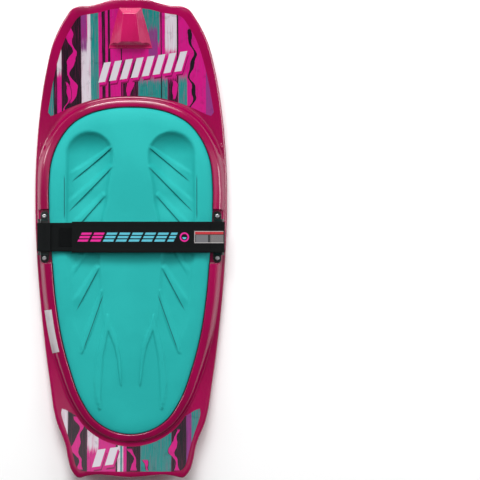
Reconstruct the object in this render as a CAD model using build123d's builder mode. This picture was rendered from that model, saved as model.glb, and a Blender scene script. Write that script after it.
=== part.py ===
"""Kneeboard: a foam-filled moulded board with an EVA knee pad and a two-part thigh strap.

Frame: +X right, +Y towards the nose, +Z up. The origin is under the middle of the board, on the
plane that the flat of the hull stands on. All lengths are in millimetres.
"""
from build123d import *
import os
from math import acos, asin, cos, radians, sin, sqrt, tan

os.makedirs("parts", exist_ok=True)

# ---------------------------------------------------------------- board
HALF_LENGTH = 635.0
HALF_WIDTH = 256.5
# Right half of the plan outline, from the nose tip round to the middle of the tail.
OUTLINE = [
    (0, HALF_LENGTH), (48, 632.5), (80, 623.5), (108, 617.5), (134, 616.5), (154, 609), (173, 585),
    (202, 531), (226, 443), (244, 330), (254, 210), (HALF_WIDTH, 95), (251, -62), (238, -216),
    (218, -375), (199, -485), (174, -550), (167, -585), (157, -616), (140, -634.5),
    (116, -630.5), (90, -627.5), (60, -629), (30, -632), (0, -634),
]
FLAT_FRONT, FLAT_REAR = 150.0, -200.0      # the hull touches the ground between these stations
NOSE_ROCKER_RADIUS = 1715.0
TAIL_ROCKER_RADIUS = 2509.0
RAIL_THICKNESS = 30.0
PARTING_HEIGHT = 17.0                      # of the joint between the shells, above the rocker line
WALL = 3.0
RAIL_WALL = 6.0
PAST = 20.0                                # how far cutting tools run past the board
SPAN_INTERVALS = 4                         # an outline is drawn as splines of this many intervals

# Hull section: a flat, a bevel that rises to the rail, and a shallow channel on each side.
BEVEL_INNER, BEVEL_OUTER, BEVEL_RISE = 182.0, 254.0, 13.0
CHANNEL_CENTRE, CHANNEL_HALF_WIDTH, CHANNEL_DEPTH = 150.0, 25.0, 2.0
CHANNEL_RADIUS = (CHANNEL_HALF_WIDTH**2 + CHANNEL_DEPTH**2) / (2 * CHANNEL_DEPTH)

# Fins: crescents standing on a straight chord. Each row is the side profile's (y, z) of the ends
# and the middle of its lower edge.
FIN_CHORD_X, FIN_BULGE_X = 124.0, 145.5
NOSE_FIN = ((330.0, 9.5), (458.0, 18.5), (582.0, 54.5))
TAIL_FIN = ((-346.0, 4.2), (-471.0, 7.0), (-596.0, 31.3))

# ---------------------------------------------------------------- pad and its rim
PAD_OUTLINE = [
    (0, 350), (66, 344.5), (110, 332), (152, 308), (188, 263.5), (210, 209), (217.5, 141),
    (216.5, 60), (209, -56), (199.7, -162), (182.5, -269), (161, -349), (131, -429), (93, -483),
    (49, -510), (0, -519),
]
PAD_CLEARANCE = 1.5                        # groove between the pad and the deck
RECESS_HEIGHT = 24.0                       # recess floor above the rocker line
PAD_BED_GAP = 0.3
PAD_BEVEL_Z, PAD_BEVEL_GROW, PAD_BEVEL_RISE, PAD_BEVEL_TAPER = 49.0, -0.5, 24.0, 45.0
PAD_TOP = ((-560.0, 60.0), (-40.0, 66.0), (420.0, 61.0))
RIM_BASE_Z, RIM_BASE_OFFSET, RIM_TAPER = 24.0, 38.0, 29.0
RIM_ROOT_HEIGHT = 12.0                     # above the rocker line, where the rim block starts inside the board
RIM_TOP = ((-650.0, 66.0), (-25.0, 56.0), (600.0, 66.0))
RIM_LOFT_RISE = 46.0                       # the taper is lofted this far, then cut by RIM_TOP
RIM_WALL = 4.5                             # of the rim's sloping side, measured in plan

KNEE_WELL = {"x": 109.0, "y": 165.0, "z": 107.0, "half_length": 190.0, "radius": 69.0}
SHIN_CHANNEL = {"x": 78.0, "y": -190.0, "z": 112.0, "half_length": 360.0, "radius": 62.0}

# ---------------------------------------------------------------- tow hook
# Plans on a plane that lies along the nose deck, with y measured from the hook's rear edge.
HOOK_REAR_Y, HOOK_FRONT_Y = 503.0, 613.0
HOOK_BASE = ((-31, 113), (31, 113), (62, 0), (-62, 0))
HOOK_TOP = ((-17.6, 101.5), (17.6, 101.5), (25, 26), (-25, 26))
HOOK_HEIGHT, HOOK_ROOT = 26.0, 3.0
HOOK_SCOOP = {"y": 8.0, "z": 14.0, "radius": 13.0}
HOOK_EDGE_RADIUS = 3.0

# ---------------------------------------------------------------- films
FILM = 0.4
NOSE_FILM_SIDE = [
    (0, 612), (48, 609), (80, 600), (108, 595), (128, 593), (142, 584), (154, 565), (179, 523), (204, 437),
    (221, 338),
]
NOSE_FILM_REAR_X, NOSE_FILM_REAR_Y, NOSE_FILM_REAR_MIDDLE = 205.0, 381.0, (104.0, 371.0)
TAIL_FILM_SIDE = [(191, -446), (183, -485), (158, -550), (150, -585), (141, -617)]
TAIL_FILM_RIM_OFFSET = 34.0
HOOK_FILM_GAP = 4.0
SERIAL_LABEL = {"x": -212.5, "y": -241.0, "width": 13.0, "length": 112.0, "turn": 9.5}

# ---------------------------------------------------------------- brackets and their fasteners
STRAP_Y = 5.0                              # middle of the strap and of the brackets
NOTCH_FLOOR_Z, NOTCH_HALF_LENGTH, NOTCH_INNER_X = 40.0, 73.0, 216.0
SCREW_X, SCREW_HALF_SPACING = 230.5, 56.0
TAB_RADIUS, PLATE_THICKNESS = 9.0, 3.0
PLATE_INNER_X, PLATE_OUTER_X = 222.5, 234.0
BAR_X, BAR_Z, BAR_RADIUS = 243.0, 50.0, 4.0
ARM_THICKNESS, ARM_RADIUS, ARM_GAP_HALF = 5.0, 6.0, 43.0
SCREW_RADIUS, SCREW_HOLE_RADIUS, SCREW_LENGTH = 2.95, 3.3, 18.0
HEAD_RADIUS, HEAD_HEIGHT = 5.5, 3.6
HEAD_EDGE_RADIUS = 1.8
HEX_SOCKET, SOCKET_DEPTH = 4.0, 2.0
WASHER_RADIUS, WASHER_THICKNESS = 7.5, 1.2
INSERT_RADIUS, INSERT_BORE, INSERT_LENGTH = 5.0, 3.0, 16.0
PLUG_RADIUS, PLUG_GAP = 12.0, 0.1
PLUG_PLACES = {"fill_plug": -60.0, "vent_plug": 90.0}

# ---------------------------------------------------------------- strap
LONG_WIDTH, SHORT_WIDTH, LABEL_WIDTH = 82.0, 76.0, 35.0
LOOP_RADIUS = 5.55                         # mid radius of the webbing round the bar
CROWN_RADIUS, CROWN_CENTRE_Z = 1200.0, -1108.7
SHOULDER_RADIUS, RUN_SLOPE = 60.0, 32.0    # slope in degrees below the level
WEBBING = 2.0
SHORT_DROP = 5.0                           # of the short half below the long one
# Layers of the two halves: the middle's height above the half's own mid-line, the thickness, and
# where the layer starts and ends, measured towards the half's own bracket. No end means the bar.
LONG_WEBBING = {"height": 0.0, "thickness": WEBBING, "start": -155.0, "end": None}
LONG_PADDING = {"height": -3.0, "thickness": 4.0, "start": -50.0, "end": 200.0}
LONG_HOOK_TAPE = {"height": -1.75, "thickness": 1.5, "start": -153.0, "end": -58.0}
STRAP_LABEL = {"height": 1.2, "thickness": 0.4, "start": 168.0, "end": None}
SHORT_WEBBING = {"height": 0.0, "thickness": WEBBING, "start": 60.0, "end": None}
SHORT_LOOP_TAPE = {"height": 1.6, "thickness": 1.2, "start": 62.0, "end": 190.0}
WEBBING_RETURN = {"height": -2.1, "thickness": 2.2, "start": 205.0, "end": None}


# ================================================================ shared shapes
def rocker(y):
    """Height of the hull's lowest line at station y."""
    if y > FLAT_FRONT:
        return NOSE_ROCKER_RADIUS - sqrt(NOSE_ROCKER_RADIUS**2 - (y - FLAT_FRONT) ** 2)
    if y < FLAT_REAR:
        return TAIL_ROCKER_RADIUS - sqrt(TAIL_ROCKER_RADIUS**2 - (y - FLAT_REAR) ** 2)
    return 0.0


def rocker_line(height):
    """The rocker line, raised by height, as three tangent edges from tail to nose."""
    tail, nose = -HALF_LENGTH - PAST, HALF_LENGTH + PAST
    tail_middle, nose_middle = (tail + FLAT_REAR) / 2, (nose + FLAT_FRONT) / 2
    ThreePointArc(
        (tail, rocker(tail) + height), (tail_middle, rocker(tail_middle) + height), (FLAT_REAR, height)
    )
    Line((FLAT_REAR, height), (FLAT_FRONT, height))
    ThreePointArc(
        (FLAT_FRONT, height), (nose_middle, rocker(nose_middle) + height), (nose, rocker(nose) + height)
    )


def rocker_band(low, high):
    """Everything between two copies of the rocker line, across the board's whole width."""
    tail, nose = -HALF_LENGTH - PAST, HALF_LENGTH + PAST
    with BuildPart() as band:
        with BuildSketch(Plane.YZ):
            with BuildLine():
                rocker_line(low)
                rocker_line(high)
                Line((tail, rocker(tail) + low), (tail, rocker(tail) + high))
                Line((nose, rocker(nose) + low), (nose, rocker(nose) + high))
            make_face()
        extrude(amount=HALF_WIDTH + PAST, both=True)
    return band.part


def below_arc(arc, drop):
    """Everything under a side-view arc given by three (y, z) points, lowered by drop."""
    start, middle, end = [(y, z - drop) for y, z in arc]
    with BuildPart() as block:
        with BuildSketch(Plane.YZ):
            with BuildLine():
                ThreePointArc(start, middle, end)
                Polyline(end, (end[0], -PAST), (start[0], -PAST), start)
            make_face()
        extrude(amount=HALF_WIDTH + PAST, both=True)
    return block.part


def heading(points, index):
    """Unit direction of an outline at one of its points, level at both of its ends."""
    if index in (0, len(points) - 1):
        return (1.0 if index == 0 else -1.0), 0.0
    (before_x, before_y), (after_x, after_y) = points[index - 1], points[index + 1]
    length = sqrt((after_x - before_x) ** 2 + (after_y - before_y) ** 2)
    return (after_x - before_x) / length, (after_y - before_y) / length


def grown(points, distance):
    """The right half of an outline, each point moved outwards by distance."""
    moved = []
    for index, (x, y) in enumerate(points):
        along_x, along_y = heading(points, index)
        moved.append((x - distance * along_y, y + distance * along_x))
    return moved


def full_outline(points, grow=0.0):
    """Both halves of a closed smooth outline as a face, from the points of its right half."""
    moved = grown(points, grow)
    last = len(moved) - 1
    with BuildSketch(mode=Mode.PRIVATE) as plan:
        with BuildLine():
            for start in range(0, last, SPAN_INTERVALS):
                end = min(start + SPAN_INTERVALS, last)
                Spline(
                    *moved[start:end + 1],
                    tangents=(heading(moved, start), heading(moved, end)), tangent_scalars=(1, 1),
                )
            mirror(about=Plane.YZ)
        make_face()
    return plan.sketch


def plan_prism(points, grow, low, high):
    """The outline, grown by grow, standing from low to high."""
    with BuildPart() as prism:
        with BuildSketch(Plane.XY.offset(low)):
            add(full_outline(points, grow))
        extrude(amount=high - low)
    return prism.part


def tapered_block(points, base_z, grow, rise, taper):
    """The outline, grown by grow at base_z, standing with walls that lean in by taper degrees."""
    with BuildPart() as block:
        for height in (0.0, rise):
            with BuildSketch(Plane.XY.offset(base_z + height)):
                add(full_outline(points, grow - height * tan(radians(taper))))
        loft(ruled=True)
    return block.part


def rim_block(grow, top_drop):
    """The tapered rim round the pad as a full block, grown in plan and lowered on top."""
    with BuildPart() as block:
        add(tapered_block(PAD_OUTLINE, RIM_BASE_Z, RIM_BASE_OFFSET + grow, RIM_LOFT_RISE, RIM_TAPER))
        add(below_arc(RIM_TOP, top_drop), mode=Mode.INTERSECT)
    return block.part


def notch_block(grow):
    """The two cuts through the rim that the strap brackets sit in."""
    with BuildPart() as cuts:
        with BuildSketch(Plane.XY.offset(NOTCH_FLOOR_Z - grow)):
            for side in (-1, 1):
                with Locations((side * (NOTCH_INNER_X - grow), STRAP_Y)):
                    Rectangle(
                        HALF_WIDTH, 2 * (NOTCH_HALF_LENGTH + grow),
                        align=(Align.MAX if side < 0 else Align.MIN, Align.CENTER),
                    )
        extrude(amount=HALF_WIDTH)
    return cuts.part


def hull_cut(raised):
    """What the bevels and the side channels take off the hull, raised for the inner surfaces."""
    slope = BEVEL_RISE / (BEVEL_OUTER - BEVEL_INNER)
    inner_x, outer_x = BEVEL_INNER - PAST, HALF_WIDTH + PAST
    inner_z, outer_z = raised - slope * PAST, raised + slope * (outer_x - BEVEL_INNER)
    with BuildPart() as cut:
        with BuildSketch(Plane.XZ):
            Polygon((inner_x, inner_z), (outer_x, outer_z), (outer_x, -PAST), (inner_x, -PAST), align=None)
            with Locations((CHANNEL_CENTRE, CHANNEL_DEPTH - CHANNEL_RADIUS)):
                Circle(CHANNEL_RADIUS + raised)
            mirror(about=Plane.YZ)
        extrude(amount=HALF_LENGTH + PAST, both=True)
    return cut.part


def board_block(inset):
    """The board without its films and fins, every surface moved inwards by inset."""
    side_inset = inset * RAIL_WALL / WALL
    rim_inset = inset * RIM_WALL / WALL
    with BuildPart() as block:
        add(plan_prism(OUTLINE, -side_inset, -PAST, HALF_WIDTH))
        add(rocker_band(inset, RAIL_THICKNESS - inset), mode=Mode.INTERSECT)
        with BuildPart(mode=Mode.PRIVATE) as rim:
            add(rim_block(-rim_inset, inset))
            add(plan_prism(OUTLINE, -side_inset, 0, HALF_WIDTH), mode=Mode.INTERSECT)
            add(rocker_band(RIM_ROOT_HEIGHT, HALF_WIDTH), mode=Mode.INTERSECT)
        add(rim.part)
        add(hull_cut(inset), mode=Mode.SUBTRACT)
        with BuildPart(mode=Mode.PRIVATE) as recess:
            add(plan_prism(PAD_OUTLINE, PAD_CLEARANCE + inset, 0, HALF_WIDTH))
            add(rocker_band(RECESS_HEIGHT - inset, HALF_WIDTH), mode=Mode.INTERSECT)
        add(recess.part, mode=Mode.SUBTRACT)
        add(notch_block(inset), mode=Mode.SUBTRACT)
    return block.part


def crown_end_angle(crown_radius):
    """Where the crown arc must end for its shoulder and straight run to meet the bar's loop."""
    slope = radians(RUN_SLOPE)
    bar_height = BAR_X * sin(slope) + BAR_Z * cos(slope)
    reach = bar_height + LOOP_RADIUS - SHOULDER_RADIUS - CROWN_CENTRE_Z * cos(slope)
    return slope - acos(reach / (crown_radius - SHOULDER_RADIUS))


def strap_line(side, crown_radius, layer):
    """The middle line of one layer of a strap half, in the plane across the board."""
    slope, crown_end = radians(RUN_SLOPE), crown_end_angle(crown_radius)
    radius, shoulder = crown_radius + layer["height"], SHOULDER_RADIUS + layer["height"]
    centre_x = (crown_radius - SHOULDER_RADIUS) * sin(crown_end)
    centre_z = CROWN_CENTRE_Z + (crown_radius - SHOULDER_RADIUS) * cos(crown_end)

    def on_crown(angle):
        return side * radius * sin(angle), CROWN_CENTRE_Z + radius * cos(angle)

    def on_shoulder(angle):
        return side * (centre_x + shoulder * sin(angle)), centre_z + shoulder * cos(angle)

    start = asin(layer["start"] / radius)
    end = crown_end if layer["end"] is None else asin(layer["end"] / radius)
    ThreePointArc(on_crown(start), on_crown((start + end) / 2), on_crown(end))
    if layer["end"] is None:
        ThreePointArc(on_shoulder(end), on_shoulder((end + slope) / 2), on_shoulder(slope))
        loop = LOOP_RADIUS + layer["height"]
        Line(on_shoulder(slope), (side * (BAR_X + loop * sin(slope)), BAR_Z + loop * cos(slope)))


def strap_layer(side, crown_radius, layer, width):
    """One layer of a strap half, extruded to its width."""
    with BuildPart() as strip:
        with BuildSketch(Plane.XZ.offset(-STRAP_Y)):
            with BuildLine():
                strap_line(side, crown_radius, layer)
            trace(line_width=layer["thickness"])
        extrude(amount=width / 2, both=True)
    return strip.part


def webbing_with_loop(side, crown_radius, layer, width):
    """A webbing layer with its loop round the bar and the end that is sewn back under it."""
    with BuildPart() as webbing:
        add(strap_layer(side, crown_radius, layer, width))
        add(strap_layer(side, crown_radius, WEBBING_RETURN, width))
        with BuildSketch(Plane.XZ.offset(-STRAP_Y)):
            with Locations((side * BAR_X, BAR_Z)):
                Circle(LOOP_RADIUS + WEBBING / 2)
        extrude(amount=width / 2, both=True)
        with BuildSketch(Plane.XZ.offset(-STRAP_Y)):
            with Locations((side * BAR_X, BAR_Z)):
                Circle(LOOP_RADIUS - WEBBING / 2)
        extrude(amount=width, both=True, mode=Mode.SUBTRACT)
    return webbing.part


def save(piece, name):
    """Label a finished piece and write its STEP file."""
    piece.label = name
    export_step(piece, f"parts/{name}.step")


# ================================================================ board
outer_block = board_block(0.0)
core_space = board_block(WALL)
screw_places = [
    (side * SCREW_X, STRAP_Y + end * SCREW_HALF_SPACING) for side in (-1, 1) for end in (-1, 1)
]

with BuildPart() as deck_shell:
    add(outer_block)
    add(core_space, mode=Mode.SUBTRACT)
    add(rocker_band(PARTING_HEIGHT, HALF_WIDTH), mode=Mode.INTERSECT)
    with BuildSketch(Plane.XY.offset(NOTCH_FLOOR_Z)):
        with Locations(screw_places):
            Circle(INSERT_RADIUS)
    extrude(amount=-INSERT_LENGTH, mode=Mode.SUBTRACT)
    with BuildSketch(Plane.XY.offset(RECESS_HEIGHT)):
        with Locations([(0, y) for y in PLUG_PLACES.values()]):
            Circle(PLUG_RADIUS)
    extrude(amount=-WALL, mode=Mode.SUBTRACT)
save(deck_shell.part, "deck_shell")

with BuildPart() as fins:
    for profile in (NOSE_FIN, TAIL_FIN):
        start_y, middle_y, end_y = [y for y, z in profile]
        with BuildPart(mode=Mode.PRIVATE) as pair:
            with BuildSketch(Plane.XY.offset(-PAST)):
                with BuildLine():
                    ThreePointArc((FIN_CHORD_X, start_y), (FIN_BULGE_X, middle_y), (FIN_CHORD_X, end_y))
                    Line((FIN_CHORD_X, end_y), (FIN_CHORD_X, start_y))
                make_face()
                mirror(about=Plane.YZ)
            extrude(amount=HALF_WIDTH)
            add(below_arc(profile, 0), mode=Mode.SUBTRACT)
        add(pair.part)
    add(rocker_band(-PAST, WALL / 2), mode=Mode.INTERSECT)

with BuildPart() as hull_shell:
    add(outer_block)
    add(core_space, mode=Mode.SUBTRACT)
    add(rocker_band(-PAST, PARTING_HEIGHT), mode=Mode.INTERSECT)
    add(fins.part)
save(hull_shell.part, "hull_shell")

with BuildPart() as foam_core:
    add(core_space)
    with BuildSketch(Plane.XY.offset(NOTCH_FLOOR_Z)):
        with Locations(screw_places):
            Circle(INSERT_RADIUS)
    extrude(amount=-INSERT_LENGTH, mode=Mode.SUBTRACT)
save(foam_core.part, "foam_core")

for plug_name, plug_y in PLUG_PLACES.items():
    with BuildPart() as plug:
        with BuildSketch(Plane.XY.offset(RECESS_HEIGHT - WALL)):
            with Locations((0, plug_y)):
                Circle(PLUG_RADIUS - PLUG_GAP)
        extrude(amount=WALL)
    save(plug.part, plug_name)

# ================================================================ knee pad
with BuildPart() as knee_pad:
    add(plan_prism(PAD_OUTLINE, 0, 0, HALF_WIDTH))
    add(rocker_band(RECESS_HEIGHT + PAD_BED_GAP, HALF_WIDTH), mode=Mode.INTERSECT)
    add(below_arc(PAD_TOP, 0), mode=Mode.INTERSECT)
    with BuildPart(mode=Mode.PRIVATE) as bevelled:
        add(plan_prism(PAD_OUTLINE, 0, 0, PAD_BEVEL_Z))
        add(tapered_block(PAD_OUTLINE, PAD_BEVEL_Z, PAD_BEVEL_GROW, PAD_BEVEL_RISE, PAD_BEVEL_TAPER))
    add(bevelled.part, mode=Mode.INTERSECT)
    for hollow in (KNEE_WELL, SHIN_CHANNEL):
        for side in (-1, 1):
            centre = (side * hollow["x"], hollow["y"], hollow["z"])
            with BuildSketch(Plane(origin=centre, x_dir=(0, 1, 0), z_dir=(1, 0, 0))):
                Ellipse(hollow["half_length"], hollow["radius"])
                Rectangle(
                    2 * hollow["half_length"], hollow["radius"],
                    align=(Align.CENTER, Align.MIN), mode=Mode.SUBTRACT,
                )
            revolve(axis=Axis(centre, (0, 1, 0)), mode=Mode.SUBTRACT)
save(knee_pad.part, "knee_pad")

# ================================================================ tow hook
hook_rear_z, hook_front_z = [rocker(y) + RAIL_THICKNESS for y in (HOOK_REAR_Y, HOOK_FRONT_Y)]
along_deck = Vector(0, HOOK_FRONT_Y - HOOK_REAR_Y, hook_front_z - hook_rear_z).normalized()
hook_plane = Plane(
    origin=(0, HOOK_REAR_Y, hook_rear_z), x_dir=(1, 0, 0), z_dir=(0, -along_deck.Z, along_deck.Y)
)
with BuildPart() as tow_hook:
    with BuildSketch(hook_plane.offset(-HOOK_ROOT)):
        Polygon(*HOOK_BASE, align=None)
    with BuildSketch(hook_plane.offset(HOOK_HEIGHT)):
        Polygon(*HOOK_TOP, align=None)
    loft(ruled=True)
    top_face = tow_hook.faces().sort_by(Axis.Z)[-1]
    fillet(top_face.edges(), HOOK_EDGE_RADIUS)
    scoop_centre = hook_plane.from_local_coords((0, HOOK_SCOOP["y"], HOOK_SCOOP["z"]))
    with BuildSketch(Plane(origin=scoop_centre, x_dir=(0, 1, 0), z_dir=(1, 0, 0))):
        Circle(HOOK_SCOOP["radius"])
    extrude(amount=HALF_WIDTH, both=True, mode=Mode.SUBTRACT)
    add(rocker_band(RAIL_THICKNESS, HALF_WIDTH), mode=Mode.INTERSECT)
save(tow_hook.part, "tow_hook")

# ================================================================ printed films and label
hook_plan = [(x, HOOK_REAR_Y + y * along_deck.Y) for x, y in HOOK_BASE]

with BuildPart() as nose_graphic:
    with BuildSketch():
        with BuildLine():
            Spline(*NOSE_FILM_SIDE)
            lobe = (NOSE_FILM_REAR_X, NOSE_FILM_SIDE[-1][1])
            rear = (0, NOSE_FILM_REAR_Y)
            Line(NOSE_FILM_SIDE[-1], lobe)
            ThreePointArc(lobe, NOSE_FILM_REAR_MIDDLE, rear)
            Line(rear, NOSE_FILM_SIDE[0])
        make_face()
        mirror(about=Plane.YZ)
        with BuildSketch(mode=Mode.PRIVATE) as hook_gap:
            Polygon(*hook_plan, align=None)
            offset(amount=HOOK_FILM_GAP)
        add(hook_gap.sketch, mode=Mode.SUBTRACT)
    extrude(amount=HALF_WIDTH)
    add(rocker_band(RAIL_THICKNESS, RAIL_THICKNESS + FILM), mode=Mode.INTERSECT)
save(nose_graphic.part, "nose_graphic")

with BuildPart() as tail_graphic:
    with BuildSketch():
        with BuildLine():
            Spline(*TAIL_FILM_SIDE)
            front, rear = TAIL_FILM_SIDE[0], TAIL_FILM_SIDE[-1]
            Polyline(rear, (0, rear[1]), (0, front[1]), front)
        make_face()
        mirror(about=Plane.YZ)
        add(full_outline(PAD_OUTLINE, TAIL_FILM_RIM_OFFSET), mode=Mode.SUBTRACT)
    extrude(amount=HALF_WIDTH)
    add(rocker_band(RAIL_THICKNESS, RAIL_THICKNESS + FILM), mode=Mode.INTERSECT)
save(tail_graphic.part, "tail_graphic")

with BuildPart() as serial_label:
    add(rim_block(FILM, 0))
    add(rim_block(0, -PAST), mode=Mode.SUBTRACT)
    with BuildPart(mode=Mode.PRIVATE) as label_plan:
        with BuildSketch():
            with Locations(Location((SERIAL_LABEL["x"], SERIAL_LABEL["y"], 0), SERIAL_LABEL["turn"])):
                Rectangle(SERIAL_LABEL["width"], SERIAL_LABEL["length"])
        extrude(amount=HALF_WIDTH)
    add(label_plan.part, mode=Mode.INTERSECT)
save(serial_label.part, "serial_label")

# ================================================================ brackets
for side, side_name in ((-1, "left"), (1, "right")):
    with BuildPart() as bracket:
        with BuildSketch(Plane.XY.offset(NOTCH_FLOOR_Z)):
            plate_middle = side * (PLATE_INNER_X + PLATE_OUTER_X) / 2
            with Locations((plate_middle, STRAP_Y)):
                Rectangle(PLATE_OUTER_X - PLATE_INNER_X, 2 * SCREW_HALF_SPACING)
            screw_pair = [place for place in screw_places if place[0] * side > 0]
            with Locations(screw_pair):
                Circle(TAB_RADIUS)
        extrude(amount=PLATE_THICKNESS)
        for end in (-1, 1):
            arm_y = STRAP_Y + end * (ARM_GAP_HALF + ARM_THICKNESS / 2)
            with BuildSketch(Plane.XZ.offset(-arm_y)):
                arm_outline = [
                    (PLATE_INNER_X, NOTCH_FLOOR_Z), (BAR_X + BAR_RADIUS, NOTCH_FLOOR_Z),
                    (BAR_X + ARM_RADIUS, BAR_Z), (BAR_X, BAR_Z + ARM_RADIUS),
                    (PLATE_INNER_X, NOTCH_FLOOR_Z + PLATE_THICKNESS),
                ]
                Polygon(*[(side * x, z) for x, z in arm_outline], align=None)
                with Locations((side * BAR_X, BAR_Z)):
                    Circle(ARM_RADIUS)
            extrude(amount=ARM_THICKNESS / 2, both=True)
        with BuildSketch(Plane.XZ.offset(-STRAP_Y)):
            with Locations((side * BAR_X, BAR_Z)):
                Circle(BAR_RADIUS)
        extrude(amount=ARM_GAP_HALF, both=True)
        with BuildSketch(Plane.XY.offset(NOTCH_FLOOR_Z)):
            with Locations(screw_pair):
                Circle(SCREW_HOLE_RADIUS)
        extrude(amount=PLATE_THICKNESS, mode=Mode.SUBTRACT)
    save(bracket.part, f"strap_bracket_{side_name}")

# ================================================================ fasteners
plate_top = NOTCH_FLOOR_Z + PLATE_THICKNESS
head_seat = plate_top + WASHER_THICKNESS
for screw_x, screw_y in screw_places:
    corner = ("right" if screw_x > 0 else "left") + ("_front" if screw_y > STRAP_Y else "_rear")

    with BuildPart() as insert:
        with BuildSketch(Plane.XY.offset(NOTCH_FLOOR_Z - INSERT_LENGTH)):
            with Locations((screw_x, screw_y)):
                Circle(INSERT_RADIUS)
                Circle(INSERT_BORE, mode=Mode.SUBTRACT)
        extrude(amount=INSERT_LENGTH)
    save(insert.part, f"bracket_insert_{corner}")

    with BuildPart() as washer:
        with BuildSketch(Plane.XY.offset(plate_top)):
            with Locations((screw_x, screw_y)):
                Circle(WASHER_RADIUS)
                Circle(SCREW_HOLE_RADIUS, mode=Mode.SUBTRACT)
        extrude(amount=WASHER_THICKNESS)
    save(washer.part, f"bracket_washer_{corner}")

    with BuildPart() as screw:
        with BuildSketch(Plane.XY.offset(head_seat)):
            with Locations((screw_x, screw_y)):
                Circle(HEAD_RADIUS)
        extrude(amount=HEAD_HEIGHT)
        fillet(screw.edges().group_by(Axis.Z)[-1], HEAD_EDGE_RADIUS)
        with BuildSketch(Plane.XY.offset(head_seat)):
            with Locations((screw_x, screw_y)):
                Circle(SCREW_RADIUS)
        extrude(amount=-SCREW_LENGTH)
        with BuildSketch(Plane.XY.offset(head_seat + HEAD_HEIGHT)):
            with Locations((screw_x, screw_y)):
                RegularPolygon(HEX_SOCKET / 2, 6, major_radius=False)
        extrude(amount=-SOCKET_DEPTH, mode=Mode.SUBTRACT)
    save(screw.part, f"bracket_screw_{corner}")

# ================================================================ strap
for name, layer, width in (
    ("strap_long_padding", LONG_PADDING, LONG_WIDTH),
    ("strap_long_hook_tape", LONG_HOOK_TAPE, SHORT_WIDTH),
    ("strap_label", STRAP_LABEL, LABEL_WIDTH),
):
    save(strap_layer(1, CROWN_RADIUS, layer, width), name)
save(webbing_with_loop(1, CROWN_RADIUS, LONG_WEBBING, LONG_WIDTH), "strap_long_webbing")

short_radius = CROWN_RADIUS - SHORT_DROP
save(strap_layer(-1, short_radius, SHORT_LOOP_TAPE, SHORT_WIDTH), "strap_short_loop_tape")
save(webbing_with_loop(-1, short_radius, SHORT_WEBBING, SHORT_WIDTH), "strap_short_webbing")
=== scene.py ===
"""A kneeboard: a twin-skin moulded board with a foam knee pad, a tow hook and a folding thigh strap."""

import logging
import math
from collections.abc import Callable, Sequence
from dataclasses import dataclass
from enum import Enum

import bmesh
import bpy
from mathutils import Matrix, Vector


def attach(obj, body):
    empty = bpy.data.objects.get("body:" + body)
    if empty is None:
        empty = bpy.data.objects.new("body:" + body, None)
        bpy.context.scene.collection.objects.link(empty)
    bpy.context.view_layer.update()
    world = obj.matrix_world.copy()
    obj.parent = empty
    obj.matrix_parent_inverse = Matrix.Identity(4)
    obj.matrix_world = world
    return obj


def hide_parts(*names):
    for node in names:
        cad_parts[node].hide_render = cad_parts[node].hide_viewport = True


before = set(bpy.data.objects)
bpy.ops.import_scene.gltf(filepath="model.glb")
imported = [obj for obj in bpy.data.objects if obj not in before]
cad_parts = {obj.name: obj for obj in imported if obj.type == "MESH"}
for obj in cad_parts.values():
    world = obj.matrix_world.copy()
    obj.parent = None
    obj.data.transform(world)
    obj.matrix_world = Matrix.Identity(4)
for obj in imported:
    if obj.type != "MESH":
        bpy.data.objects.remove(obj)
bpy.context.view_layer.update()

LOG = logging.getLogger("kneeboard")
MM = 0.001
Colour = tuple[float, float, float, float]
Pair = tuple[float, float]
Ring = list[Vector]


# ---------------------------------------------------------------- number helpers


def smooth_step(low: float, high: float, value: float) -> float:
    """Rise smoothly from 0 to 1.

    Args:
        low: The value where the rise starts.
        high: The value where the rise ends.
        value: The value to look up.

    Returns:
        A number from 0 to 1.
    """
    share = min(max((value - low) / (high - low), 0.0), 1.0)
    return share * share * (3 - 2 * share)


def read_off(curve: Sequence[Pair], value: float, straight: bool = False) -> float:
    """Read a curve given by a few points.

    Args:
        curve: Pairs of position and height, in rising order of position.
        value: The position to look up.
        straight: Whether straight pieces join the points, instead of smooth steps.

    Returns:
        The height there, held constant past either end.
    """
    if value <= curve[0][0]:
        return curve[0][1]
    for (left, low), (right, high) in zip(curve, curve[1:]):
        if value <= right:
            share = (value - left) / (right - left) if straight else smooth_step(left, right, value)
            return low + (high - low) * share
    return curve[-1][1]


def through_three(points: Sequence[Pair], value: float) -> float:
    """Read the shallow bow through three points.

    Args:
        points: Three pairs of position and height.
        value: The position to look up.

    Returns:
        The height of the bow there.
    """
    total = 0.0
    for here, height in points:
        share = height
        for other, _ in points:
            if other != here:
                share *= (value - other) / (here - other)
        total += share
    return total


def between(start: Vector, end: Vector, share: float) -> Vector:
    """Return the point that lies a share of the way from start to end."""
    return start.lerp(end, share)


# ---------------------------------------------------------------- plan outlines


def spread_evenly(chain: list[Vector], count: int) -> list[Vector]:
    """Space points evenly along a chain.

    Args:
        chain: The chain to walk along.
        count: How many equal steps it is cut into.

    Returns:
        The count + 1 points.
    """
    reach = [0.0]
    for before, after in zip(chain, chain[1:]):
        reach.append(reach[-1] + (after - before).length)
    spread = []
    link = 0
    for step in range(count + 1):
        goal = reach[-1] * step / count
        while link < len(chain) - 2 and reach[link + 1] < goal:
            link += 1
        share = (goal - reach[link]) / (reach[link + 1] - reach[link])
        spread.append(between(chain[link], chain[link + 1], min(share, 1.0)))
    return spread


@dataclass(frozen=True)
class Station:
    """A point of a plan outline and the direction that leaves it squarely."""

    point: Vector
    normal: Vector


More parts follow.
